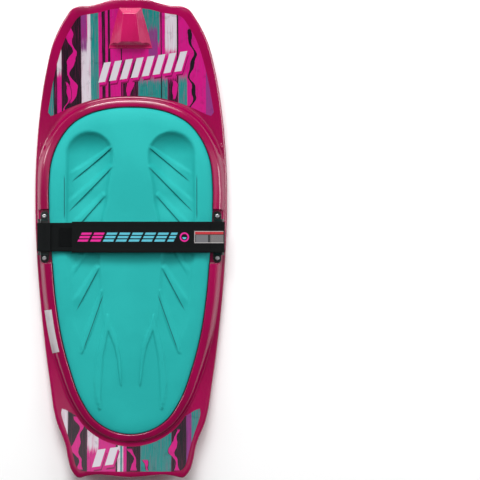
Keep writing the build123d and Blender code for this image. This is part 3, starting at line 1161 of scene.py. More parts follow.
@dataclass(frozen=True)
class Spoke:
    """One line that leaves the pad's edge squarely and meets the board's edge."""

    pad: Station
    edge: Station

    @property
    def width(self) -> float:
        """Return the distance in plan from the pad's edge to the board's edge."""
        return (self.edge.point - self.pad.point).length

    def out(self, offset: float) -> Vector:
        """Return the plan point at an offset outside the pad's edge."""
        return self.pad.point + self.pad.normal * offset

    def in_from_edge(self, inset: float) -> Vector:
        """Return the plan point at an inset inside the board's edge."""
        return self.edge.point - self.edge.normal * inset


@dataclass(frozen=True)
class Fin:
    """A crescent fin under the hull, thickest halfway along and tapered towards its foot."""

    form: Form
    line: tuple[Pair, Pair, Pair]
    side: int
    chord: float = 124.0
    bulge: float = 145.5
    taper: float = 0.12
    root: float = 3.0
    columns: int = 48

    def spot(self, column: int, row: int) -> Vector:
        """Lay one point of the fin's closed section.

        Args:
            column: The step along the fin.
            row: The step round its section.

        Returns:
            The point in mm.
        """
        share = column / self.columns
        start, stop = self.line[0][0], self.line[-1][0]
        y = start + (stop - start) * share
        width = (self.bulge - self.chord) * (1 - (2 * share - 1) ** 2)
        low = through_three(self.line, y)
        root = self.form.rocker(y) + self.root
        across, height = FIN_SECTION[row % len(FIN_SECTION)]
        inset = (1 - height) * self.taper
        x = self.chord + width * (inset + across * (1 - 2 * inset))
        return Vector((self.side * x, y, low + (root - low) * height))


@dataclass
class Shells:
    """The deck and hull skins of the board."""

    form: Form
    stations: int = 720
    gap: float = 1.5
    bevel_start: float = 182.0
    bevel_end: float = 254.0
    bevel_rise: float = 13.0
    channel: Pair = (125.0, 175.0)
    channel_depth: float = 2.0
    channel_fade: float = 30.0
    crease: float = 124.0
    recess_reach: float = 470.0
    edge_reach: float = 560.0
    rim_fall: float = 1.6
    seam_inset: float = 0.5
    flange_inset: float = 5.0

    def __post_init__(self) -> None:
        """Lay out the spokes between the pad and the board's edge."""
        self.board = Outline(BOARD_HALF, self.stations)
        self.pad = Outline(PAD_HALF, self.stations)
        self.spokes = [self._spoke(station) for station in self.board.stations]

    def _spoke(self, station: Station) -> Spoke:
        """Join a station of the board's edge to the pad, with the notch's ends kept sharp.

        Args:
            station: The station of the board's edge.

        Returns:
            The spoke.
        """
        half_step, catch = 0.7, 2.4
        for sign in (-1, 1):
            end = self.form.notch_centre + sign * self.form.notch_half
            away = station.point.y - end
            if abs(away) < catch and abs(station.point.x) > 200:
                moved = Vector((station.point.x, end + math.copysign(half_step, away)))
                station = Station(moved, station.normal)
        return Spoke(self.pad.nearest(station.point), station)

    def _in_notch(self, spoke: Spoke) -> bool:
        """Say whether a spoke crosses the notch that a strap bracket sits in."""
        return (
            abs(spoke.edge.point.x) > 200
            and abs(spoke.edge.point.y - self.form.notch_centre) < self.form.notch_half
        )

    def rim_profile(self, spoke: Spoke) -> list[Vector]:
        """Walk out over the rim from the recess to the deck flange.

        Args:
            spoke: The spoke to walk along.

        Returns:
            Points in mm.
        """
        form = self.form
        y = spoke.pad.point.y
        top = form.rim_top(spoke.out(10).y)
        low = form.deck(spoke.out(form.rim_offset(form.deck(y))).y)
        brink = form.rim_offset(top)
        edge = top - self.rim_fall
        walk = [(self.gap, form.rocker(y) + form.floor), (self.gap, top - 2.6), (self.gap + 0.6, top - 1.0)]
        walk += [(self.gap + 2.0, top - 0.1), (self.gap + 4.0, top), (brink - 5.5, edge)]
        walk += [(brink - 2.4, edge - 0.4), (brink - 0.6, edge - 1.1)]
        heights = (edge - 2.6, top - 0.45 * (top - low), top - 0.65 * (top - low), low + 2.6)
        walk += [(form.rim_offset(height), height) for height in heights]
        foot = form.rim_offset(low)
        walk += [(form.rim_offset(low + 1.1) + 0.4, low + 1.1), (foot + 1.6, low + 0.25), (foot + 3.6, low)]
        limit = spoke.width - 5.6
        points = []
        for index, (offset, z) in enumerate(walk):
            offset = min(offset, limit - 0.05 * (len(walk) - index))
            if index and self._in_notch(spoke):
                z = min(z, form.notch_floor)
            spot = spoke.out(offset)
            points.append(Vector((spot.x, spot.y, z)))
        return points

    def deck_ring_walk(self, spoke: Spoke) -> list[Vector]:
        """Walk from the middle of the recess over the rim and rail to the middle underneath.

        Args:
            spoke: The spoke to walk along.

        Returns:
            Points in mm.
        """
        form = self.form
        rim = self.rim_profile(spoke)
        middle = spine(spoke.pad.point, self.recess_reach)
        walk = []
        for share in (0.0, 0.33, 0.67):
            spot = between(middle, rim[0].xy, share)
            walk.append(Vector((spot.x, spot.y, form.rocker(spot.y) + form.floor)))
        walk += rim
        flange_end = spoke.in_from_edge(self.flange_inset)
        for step in range(1, 10):
            spot = between(rim[-1].xy, flange_end, step / 10)
            walk.append(Vector((spot.x, spot.y, form.deck(spot.y))))
        for inset, height in RAIL_SECTION:
            spot = spoke.in_from_edge(inset)
            walk.append(Vector((spot.x, spot.y, form.rocker(spot.y) + height)))
        seam, end = spoke.in_from_edge(self.seam_inset), spine(spoke.edge.point, self.edge_reach)
        for share in (0.34, 0.67, 1.0):
            spot = between(seam, end, share)
            walk.append(Vector((spot.x, spot.y, form.rocker(spot.y) + form.parting)))
        return walk

    def keel(self, spot: Vector) -> float:
        """Find the hull's underside.

        Args:
            spot: The plan point, in mm.

        Returns:
            Its height in mm.
        """
        side = abs(spot.x)
        base = self.form.rocker(spot.y)
        bevel = self.bevel_rise * (side - self.bevel_start) / (self.bevel_end - self.bevel_start)
        height = max(base, bevel)
        start, end = self.channel
        inside = smooth_step(start, start + 3, side) * (1 - smooth_step(end - 6, end, side))
        ends = 1 - smooth_step(400, 440, abs(spot.y + 20))
        height += self.channel_depth * inside * ends * max(1 - base / self.channel_fade, 0.0)
        crease = 1 - smooth_step(0.0, 2.6, abs(side - self.crease))
        return height + 0.5 * crease

    def hull_ring_walk(self, spoke: Spoke) -> list[Vector]:
        """Walk from the middle of the parting plane round the rail to the middle of the keel.

        Args:
            spoke: The spoke to walk along.

        Returns:
            Points in mm.
        """
        form = self.form
        edge = spoke.edge.point
        seam, end = spoke.in_from_edge(self.seam_inset), spine(edge, self.edge_reach)
        walk = []
        for share in (1.0, 0.5):
            spot = between(seam, end, share)
            walk.append(Vector((spot.x, spot.y, form.rocker(spot.y) + form.parting - 0.4)))
        low = self.keel(edge) - form.rocker(edge.y)
        radius = min(8.0, 0.8 * (form.parting - 0.8 - low))
        start = ((self.seam_inset, form.parting - 0.4), (0.0, form.parting - 0.9), (0.0, low + radius))
        for inset, height in start:
            spot = spoke.in_from_edge(inset)
            walk.append(Vector((spot.x, spot.y, form.rocker(edge.y) + height)))
        for turn in (22, 45, 68):
            inset = radius * (1 - math.cos(math.radians(turn)))
            height = low + radius * (1 - math.sin(math.radians(turn)))
            spot = spoke.in_from_edge(inset)
            walk.append(Vector((spot.x, spot.y, form.rocker(edge.y) + height)))
        turn_end = spoke.in_from_edge(radius)
        steps = 72
        for step in range(steps + 1):
            spot = between(turn_end, end, step / steps)
            walk.append(Vector((spot.x, spot.y, self.keel(spot))))
        return walk

    def build_deck(self, material: bpy.types.Material) -> bpy.types.Object:
        """Skin the deck, with its recess, rim and notches.

        Args:
            material: The finish of its surface.

        Returns:
            The object.
        """
        walks = [self.deck_ring_walk(spoke) for spoke in self.spokes]
        mesh = ringed([list(ring) for ring in zip(*walks)])
        return finished(mesh, Piece("deck_skin", "board", "deck", ("deck_shell",), 44), material)

    def build_hull(self, material: bpy.types.Material) -> bpy.types.Object:
        """Skin the hull, with its channels and rounded rail.

        Args:
            material: The finish of its surface.

        Returns:
            The object.
        """
        walks = [self.hull_ring_walk(spoke) for spoke in self.spokes]
        mesh = ringed([list(ring) for ring in zip(*walks)])
        return finished(mesh, Piece("hull_skin", "board", "hull", ("hull_shell",), 30), material)

    def build_fins(self, material: bpy.types.Material) -> None:
        """Raise the four crescent fins that stand along the hull's creases.

        Args:
            material: The finish of its surface.
        """
        for end, line in FIN_LINES.items():
            for name, side in (("left", -1), ("right", 1)):
                fin = Fin(self.form, line, side)
                mesh = bent_grid(fin.columns, len(FIN_SECTION), fin.spot)
                finished(mesh, Piece(f"hull_fin_{end}_{name}", "board", "hull"), material)


# ---------------------------------------------------------------- knee pad


@dataclass(frozen=True)
class Band:
    """A raised band of the pad's relief on its right half: soft towards the nose, crisp towards the tail."""

    nose_inner: Pair
    nose_outer: Pair
    tail_inner: Pair
    tail_outer: Pair
    height: float

    def lift(self, spot: Vector) -> float:
        """Find how far the band raises the pad.

        Args:
            spot: A plan point of the right half, in mm.

        Returns:
            The rise in mm.
        """
        nose_in, nose_out = Vector(self.nose_inner), Vector(self.nose_outer)
        tail_in, tail_out = Vector(self.tail_inner), Vector(self.tail_outer)
        start, end = (nose_in + tail_in) / 2, (nose_out + tail_out) / 2
        run = end - start
        along = (spot - start).dot(run) / run.length_squared
        if not -0.1 < along < 1.1:
            return 0.0
        nose_run = (nose_out - nose_in).normalized()
        tail_run = (tail_out - tail_in).normalized()
        past_nose = (spot - nose_in).dot(Vector((nose_run.y, -nose_run.x)))
        before_tail = (tail_in - spot).dot(Vector((tail_run.y, -tail_run.x)))
        soft = min(0.5 * (past_nose + before_tail), 9.0)
        body = smooth_step(-2.0, max(soft, 1.0), past_nose) * smooth_step(-1.3, 0.9, before_tail)
        ends = smooth_step(-0.03, 0.05, along) * (1 - smooth_step(0.72, 1.0, along))
        return self.height * body * ends


@dataclass(frozen=True)
class Ridge:
    """A slim raised ridge of the pad's relief: plan points with a half-width each."""

    line: tuple[tuple[float, float, float], ...]
    height: float

    def lift(self, spot: Vector) -> float:
        """Find how far the ridge raises the pad.

        Args:
            spot: A plan point of the right half, in mm.

        Returns:
            The rise in mm.
        """
        best = 0.0
        for (x0, y0, w0), (x1, y1, w1) in zip(self.line, self.line[1:]):
            start, end = Vector((x0, y0)), Vector((x1, y1))
            run = end - start
            share = min(max((spot - start).dot(run) / run.length_squared, 0.0), 1.0)
            width = w0 + (w1 - w0) * share
            away = (spot - between(start, end, share)).length
            best = max(best, 1 - smooth_step(0.45, 1.0, away / (width + 1.5)))
        return self.height * best


RELIEF = (
    Band((54, 249), (166, 178), (51, 241), (166, 145), 4.5),
    Band((51, 206), (172, 100), (51, 188), (172, 64), 4.5),
    Band((68, 134), (166, 36), (72, 110), (158, 12), 4.0),
    Band((92, 30), (166, -96), (92, 6), (156, -104), 3.0),
    Band((87, -57), (156, -162), (87, -84), (147, -200), 4.0),
    Ridge(((78, -138, 2), (93, -190, 9), (112, -245, 10), (125, -285, 6), (129, -302, 0.5)), 3.6),
    Ridge(
        (
            (61.5, -203, 1.5), (64, -235, 7), (72, -268, 9), (81, -311, 10),
            (87, -382, 11.5), (86, -420, 8), (82, -452, 1),
        ),
        4.2,
    ),
    Ridge(
        (
            (61.5, -203, 1.5), (56, -236, 7), (45, -262, 7.5), (37, -286, 6),
            (31, -320, 4.5), (27, -365, 3), (25, -388, 0.5),
        ),
        4.2,
    ),
)  # fmt: skip
WELL_DEPTH = ((-320, 0), (-200, 3), (-36, 7), (46, 11), (120, 20), (215, 32))
WELL_INNER = ((-300, 58), (-134, 74), (-36, 78), (46, 69), (108, 57), (222, 41))
WELL_OUTER = ((-300, 130), (-200, 160), (-36, 172), (50, 177), (222, 177))


@dataclass
class KneePad:
    """The foam pad with two knee wells, a middle ridge and the moulded relief."""

    form: Form
    stations: int = 800
    underside: float = 24.3
    side_top: float = 7.0
    roll: float = 44.0
    well_centre: Pair = (109.0, 222.0)
    well_radius: float = 68.0
    spine_reach: float = 220.0

    def well(self, spot: Vector) -> float:
        """Find the depth of the knee well.

        Args:
            spot: A plan point of the right half, in mm.

        Returns:
            The depth in mm.
        """
        depth = read_off(WELL_DEPTH, spot.y)
        if spot.y > self.well_centre[1]:
            away = (spot - Vector(self.well_centre)).length / self.well_radius
        else:
            inner, outer = read_off(WELL_INNER, spot.y), read_off(WELL_OUTER, spot.y)
            away = abs(spot.x - (inner + outer) / 2) / ((outer - inner) / 2)
        if away >= 1:
            return 0.0
        power = 4.5 - 2.3 * smooth_step(50, 222, spot.y)
        return depth * (1 - away**power) * smooth_step(0.0, 0.2, 1 - away)

    def surface(self, spot: Vector) -> float:
        """Find the pad's top.

        Args:
            spot: The plan point, in mm.

        Returns:
            Its height in mm.
        """
        right = Vector((abs(spot.x), spot.y))
        height = self.form.pad_top(spot.y) - 2.5 * (right.x / 216) ** 2 + 4.5 * smooth_step(40, 200, right.y)
        height -= self.well(right)
        groove = 1 - smooth_step(0.6, 2.6, abs(right.x - 176))
        height -= 2.0 * groove * smooth_step(40, 60, spot.y) * (1 - smooth_step(150, 172, spot.y))
        return height + max(form.lift(right) for form in RELIEF)

    def walk(self, station: Station) -> list[Vector]:
        """Walk from the middle of the underside round the edge to the middle of the top.

        Args:
            station: The station of the pad's outline.

        Returns:
            Points in mm.
        """
        form = self.form
        point, normal = station.point, station.normal
        base = form.rocker(point.y) + self.underside
        brink = form.rim_top(point.y) - self.side_top
        middle = spine(point, self.spine_reach)
        walk = []
        for share in (1.0, 0.5):
            spot = between(point - normal * 2, middle, share)
            walk.append(Vector((spot.x, spot.y, form.rocker(spot.y) + self.underside)))
        side = ((2.0, base), (0.6, base + 0.6), (0.0, base + 2.0), (0.0, (base + brink) / 2), (0.0, brink))
        for inset, z in side:
            spot = point - normal * inset
            walk.append(Vector((spot.x, spot.y, z)))
        for turn in range(6, 91, 6):
            inset = self.roll * (1 - math.cos(math.radians(turn)))
            spot = point - normal * inset
            share = math.sin(math.radians(turn))
            walk.append(Vector((spot.x, spot.y, brink + (self.surface(spot) - brink) * share)))
        start = walk[-1].xy
        steps = 84
        for step in range(1, steps + 1):
            spot = between(start, middle, step / steps)
            walk.append(Vector((spot.x, spot.y, self.surface(spot))))
        return walk

    def build(self, material: bpy.types.Material) -> bpy.types.Object:
        """Mould the pad.

        Args:
            material: The finish of its surface.

        Returns:
            The object.
        """
        outline = Outline(PAD_HALF, self.stations)
        walks = [self.walk(station) for station in outline.stations]
        mesh = ringed([list(ring) for ring in zip(*walks)])
        made = finished(mesh, Piece("knee_pad_foam", "board", "pad", ("knee_pad",), 60), material)
        return made


# ---------------------------------------------------------------- printed films and label


NOSE_FILM_OUTER = (
    (0, 612), (48, 609), (80, 600), (108, 595), (128, 593),
    (142, 584), (154, 565), (179, 523), (204, 437), (221, 338),
)  # fmt: skip
NOSE_FILM_INNER = ((0, 381), (50, 379.5), (104, 371), (158, 353), (198, 333), (214, 328))
TAIL_FILM_OUTER = (
    (0, -618), (70, -618), (120, -618), (138, -614), (147, -600),
    (152, -580), (160, -545), (176, -498), (186, -468), (184, -452),
)  # fmt: skip


@dataclass
class Prints:
    """The printed films of nose and tail and the foil label on the rim."""

    form: Form
    shells: Shells
    lift: float = 0.3
    thickness: float = 0.2
    steps: int = 90

    def _stick(self, mesh: bmesh.types.BMesh, piece: Piece, material: bpy.types.Material) -> None:
        """Turn a sheet face up, give it its thickness and finish it.

        Args:
            mesh: The sheet, which is used up.
            piece: Its name and place.
            material: Its print.
        """
        if sum(face.normal.z for face in mesh.faces) < 0:
            bmesh.ops.reverse_faces(mesh, faces=mesh.faces)
        bmesh.ops.solidify(mesh, geom=mesh.faces[:], thickness=self.thickness)
        finished(mesh, piece, material)

    def _film(
        self, outer: list[Vector], inner: list[Vector], piece: Piece, material: bpy.types.Material
    ) -> None:
        """Lay a film between two half lines and mirror it.

        Args:
            outer: The half line on the outer side, from the middle.
            inner: The half line on the rim's side, from the middle.
            piece: The film's name and place.
            material: Its print.
        """
        count = len(outer) - 1
        rows = 26

        def place(column: int, row: int) -> Vector:
            """Lay one point of the film over the deck.

            Args:
                column: The step along the film.
                row: The step from its outer to its inner line.

            Returns:
                The point in mm.
            """
            index = column - count
            spot = between(outer[abs(index)], inner[abs(index)], row / rows)
            x = math.copysign(spot.x, index) if index else 0.0
            return Vector((x, spot.y, self.form.deck(spot.y) + self.lift))

        self._stick(bent_grid(2 * count, rows, place), piece, material)

    def _line(self, points: Sequence[Pair]) -> list[Vector]:
        """Space points along a gently rounded line.

        Args:
            points: The corners of the line.

        Returns:
            The points, one more than the steps of half a film.
        """
        chain = [Vector(point) for point in points]
        for _ in range(2):
            cut = [chain[0]]
            for before, after in zip(chain, chain[1:]):
                cut += [between(before, after, 0.25), between(before, after, 0.75)]
            chain = cut + [chain[-1]]
        return spread_evenly(chain, self.steps)

    def build_nose(self, material: bpy.types.Material) -> None:
        """Lay the nose film.

        Args:
            material: Its print.
        """
        piece = Piece("nose_film", "board", "graphic", ("nose_graphic",))
        self._film(self._line(NOSE_FILM_OUTER), self._line(NOSE_FILM_INNER), piece, material)

    def build_tail(self, material: bpy.types.Material) -> None:
        """Lay the tail film round the rim's tail end.

        Args:
            material: Its print.
        """
        rim_clear, film_start = 33.5, -470
        inner = [(172, -456)]
        for point in self.shells.pad.right:
            found = self.shells.pad.nearest(point)
            spot = found.point + found.normal * rim_clear
            if spot.y < film_start and spot.x >= 0:
                inner.append((spot.x, spot.y))
        inner[-1] = (0, inner[-1][1])
        piece = Piece("tail_film", "board", "graphic", ("tail_graphic",))
        self._film(self._line(TAIL_FILM_OUTER), self._line(inner[::-1]), piece, material)

    def build_label(self, material: bpy.types.Material) -> None:
        """Stick the foil label over the rim's outer brink and its sloping side.

        Args:
            material: Its foil.
        """
        inner, outer, rows = 14.0, 34.5, 30
        tail_end, nose_end = -298.0, -183.0
        spokes = [spoke for spoke in self.shells.spokes if spoke.pad.point.x < 0]
        spokes = [spoke for spoke in spokes if tail_end < spoke.pad.point.y < nose_end]
        spokes.sort(key=lambda spoke: spoke.pad.point.y)
        profiles = []
        for spoke in spokes:
            walk = self.shells.rim_profile(spoke)
            profiles.append([((point.xy - spoke.pad.point).length, point.z) for point in walk])

        def place(column: int, row: int) -> Vector:
            """Lay one point of the label on the rim.

            Args:
                column: The step along the rim.
                row: The step across it.

            Returns:
                The point in mm.
            """
            offset = inner + (outer - inner) * row / rows
            spot = spokes[column].out(offset + self.lift)
            height = read_off(profiles[column], offset, straight=True)
            return Vector((spot.x, spot.y, height + self.lift))

        piece = Piece("foil_label", "board", "label", ("serial_label",))
        self._stick(bent_grid(len(spokes) - 1, rows, place), piece, material)


# ---------------------------------------------------------------- thigh strap


STRAP_RETURN = ((14.0, 3.4), (20.0, 2.3), (28.0, 2.2), (38.0, 2.2))


@dataclass(frozen=True)
class StrapPath:
    """The middle line of one half of the strap, from its free end over the thighs to its bar."""

    side: int
    crown_radius: float
    bar: Pair = (243.0, 50.0)
    loop_radius: float = 5.55
    shoulder_radius: float = 60.0
    slope: float = math.radians(32)
    crown_centre: float = -1108.7
    crown_step: float = 5.0
    shoulder_steps: int = 16
    straight_steps: int = 8

    def _crown_end(self) -> float:
        """Find where the crown turns into the shoulder.

        Returns:
            The angle there.
        """
        sine, cosine = math.sin(self.slope), math.cos(self.slope)
        reach = self.bar[0] * sine + self.bar[1] * cosine + self.loop_radius
        reach -= self.shoulder_radius + self.crown_centre * cosine
        return self.slope - math.acos(reach / (self.crown_radius - self.shoulder_radius))

    def stations(self, start: float, end: float | None) -> list[tuple[Vector, float]]:
        """Walk along the path.

        Args:
            start: The x in mm of the free end, positive towards the own bracket.
            end: The x in mm where the layer stops, or None where it goes round the bar and back.

        Returns:
            Pairs of a point in the x-z plane and the angle of its outward direction.
        """
        crown_end = self._crown_end()
        walk = []
        first = math.asin(start / self.crown_radius)
        steps = max(2, int((crown_end - first) * self.crown_radius / self.crown_step))
        middle = Vector((0.0, self.crown_centre))
        for step in range(steps + 1):
            angle = first + (crown_end - first) * step / steps
            walk.append((middle + self.out(angle) * self.crown_radius, angle))
        centre = middle + self.out(crown_end) * (self.crown_radius - self.shoulder_radius)
        for step in range(1, self.shoulder_steps + 1):
            angle = crown_end + (self.slope - crown_end) * step / self.shoulder_steps
            walk.append((centre + self.out(angle) * self.shoulder_radius, angle))
        tangent = Vector(self.bar) + self.out(self.slope) * self.loop_radius
        straight = walk[-1][0]
        for step in range(1, self.straight_steps + 1):
            walk.append((between(straight, tangent, step / self.straight_steps), self.slope))
        if end is not None:
            return [pair for pair in walk if pair[0].x <= end]
        for turn in range(12, 205, 12):
            angle = self.slope + math.radians(turn)
            walk.append((Vector(self.bar) + self.out(angle) * self.loop_radius, angle))
        back = self.slope + math.pi
        direction = Vector((-math.cos(self.slope), math.sin(self.slope)))
        for reach, drop in STRAP_RETURN:
            spot = tangent + direction * reach
            walk.append((spot - self.out(self.slope) * drop, back))
        return walk

    @staticmethod
    def out(angle: float) -> Vector:
        """Return the direction in the x-z plane at an angle from straight up."""
        return Vector((math.sin(angle), math.cos(angle)))


@dataclass(frozen=True)
class Layer:
    """One layer of the strap."""

    name: str
    path: StrapPath
    height: float
    thickness: float
    width: float
    start: float
    end: float | None
    body: str
    slot: str
    node: str
    bound: float = 0.0
    padded: bool = False

    def _section(self, count: int) -> list[tuple[float, float, float]]:
        """Lay out the closed section of the band.

        Args:
            count: How many steps go across.

        Returns:
            Across in mm, up as a share of the thickness, and extra height in mm.
        """
        half = self.width / 2
        top = []
        for step in range(count + 1):
            across = -half * math.cos(math.pi * step / count)
            corner = min((half - abs(across)) / (self.thickness / 2), 1.0)
            share = math.sqrt(max(1 - (1 - corner) ** 2, 0.0)) / 2
            bound = self.bound * smooth_step(half - 9, half - 7.6, abs(across)) * min(corner, 1.0)
            top.append((across, share, bound))
        bottom = [(across, -share, -bound * 0.3) for across, share, bound in reversed(top[1:-1])]
        return top + bottom

    def build(self, material: bpy.types.Material, middle: float) -> bpy.types.Object:
        """Sweep the layer along its path.

        Args:
            material: Its finish.
            middle: The y in mm of the strap's middle line.

        Returns:
            The object.
        """
        section = self._section(30)
        stations = self.path.stations(self.start, self.end)
        lengths = [stations[0][0].x]
        for (before, _), (after, _) in zip(stations, stations[1:]):
            lengths.append(lengths[-1] + (after - before).length)
        stations = [stations[0]] + stations + [stations[-1]]
        lengths = [lengths[0]] + lengths + [lengths[-1]]
        last = len(stations) - 1
        count = len(section)

        def place(column: int, row: int) -> Vector:
            """Lay one point of the swept band.

            Args:
                column: The step round the section.
                row: The step along the path.

            Returns:
                The point in mm.
            """
            across, share, extra = section[column % count]
            spot, angle = stations[row]
            closed = row in (0, last)
            rise = self.height + (0.0 if closed else share * self.thickness + extra)
            out = StrapPath.out(angle)
            flat = spot + out * rise
            return Vector((self.path.side * flat.x, middle + across, flat.y))

        mesh = bent_grid(count, last, place, lay=True)
        layer = mesh.loops.layers.uv.active
        for face in mesh.faces:
            for loop in face.loops:
                column, row = (round(part) for part in loop[layer].uv)
                loop[layer].uv = (self.path.side * lengths[row], section[column % count][0])
        made = finished(mesh, Piece(self.name, self.body, self.slot, (self.node,), 60), material)
        return made


# ---------------------------------------------------------------- studio


LIGHTS = (
    ("key_nose", (-0.3, 2.9, 2.5), (2.0, 1.0), 108.0),
    ("side_left", (-2.6, 0.9, 1.9), (0.5, 2.0), 30.0),
    ("side_right", (2.8, 0.3, 2.2), (0.7, 2.2), 38.0),
    ("strip_left", (-1.05, 0.4, 3.2), (0.35, 1.9), 2.0),
    ("strip_right", (1.15, 0.4, 3.2), (0.4, 1.9), 3.0),
)


@dataclass
class Studio:
    """The pale floor, the soft lights and the camera straight above."""

    view_width: float = 1.278
    lens: float = 200.0
    sensor: float = 36.0
    aim: Pair = (0.2907, -0.0027)

    @staticmethod
    def floor() -> None:
        """Lay the floor."""
        mesh = bmesh.new()
        bmesh.ops.create_grid(mesh, x_segments=8, y_segments=8, size=9.0)
        data = bpy.data.meshes.new("studio_floor")
        mesh.to_mesh(data)
        mesh.free()
        graph = Graph("floor_paper")
        tone = graph.mottle(None, 3.0, 2.0)
        colour = graph.blend(tone, (0.93, 0.93, 0.93, 1.0), (0.95, 0.95, 0.95, 1.0))
        data.materials.append(graph.dress(Base_Color=colour, Roughness=0.9))
        made = bpy.data.objects.new("studio_floor", data)
        bpy.context.scene.collection.objects.link(made)

    @staticmethod
    def light(name: str, place: tuple[float, float, float], size: Pair, power: float) -> None:
        """Hang a soft light that faces the board.

        Args:
            name: Its name.
            place: Where it hangs, in metres.
            size: Its width and height, in metres.
            power: Its power in watts.
        """
        data = bpy.data.lights.new(name, "AREA")
        data.shape = "RECTANGLE"
        data.size, data.size_y = size
        data.energy = power
        made = bpy.data.objects.new(name, data)
        made.location = place
        made.rotation_euler = (Vector((0, 0, 0)) - Vector(place)).to_track_quat("-Z", "Y").to_euler()
        bpy.context.scene.collection.objects.link(made)

    @staticmethod
    def sun() -> None:
        """Add a broad soft sun from the nose's side, which keeps the far floor pale."""
        data = bpy.data.lights.new("soft_sun", "SUN")
        data.energy = 1.2
        data.angle = math.radians(30)
        made = bpy.data.objects.new("soft_sun", data)
        made.rotation_euler = (math.radians(-38), 0.0, 0.0)
        bpy.context.scene.collection.objects.link(made)

    @staticmethod
    def air() -> None:
        """Surround the floor with white walls under a dim ceiling."""
        walls, ceiling, wall_top = 0.9, 0.07, 0.42
        world = bpy.data.worlds.new("studio_air")
        world.use_nodes = True
        tree = world.node_tree
        backdrop = tree.nodes["Background"]
        backdrop.inputs["Color"].default_value = (1.0, 1.0, 1.0, 1.0)
        spot = tree.nodes.new("ShaderNodeTexCoord")
        apart = tree.nodes.new("ShaderNodeSeparateXYZ")
        fade = tree.nodes.new("ShaderNodeMapRange")
        fade.interpolation_type = "SMOOTHSTEP"
        for index, limit in enumerate((0.08, wall_top, walls, ceiling), start=1):
            fade.inputs[index].default_value = limit
        tree.links.new(spot.outputs["Generated"], apart.inputs[0])
        tree.links.new(apart.outputs["Z"], fade.inputs[0])
        tree.links.new(fade.outputs[0], backdrop.inputs["Strength"])
        bpy.context.scene.world = world

    def build(self) -> None:
        """Set up the whole studio."""
        self.floor()
        self.sun()
        for name, place, size, power in LIGHTS:
            self.light(name, place, size, power)
        self.air()
        data = bpy.data.cameras.new("camera_above")
        data.lens = self.lens
        data.sensor_width = self.sensor
        camera = bpy.data.objects.new("camera_above", data)
        camera.location = (*self.aim, 0.05 + self.view_width * self.lens / self.sensor)
        bpy.context.scene.collection.objects.link(camera)
        bpy.context.scene.camera = camera
        bpy.context.scene.view_settings.view_transform = "Standard"


# ---------------------------------------------------------------- the whole board


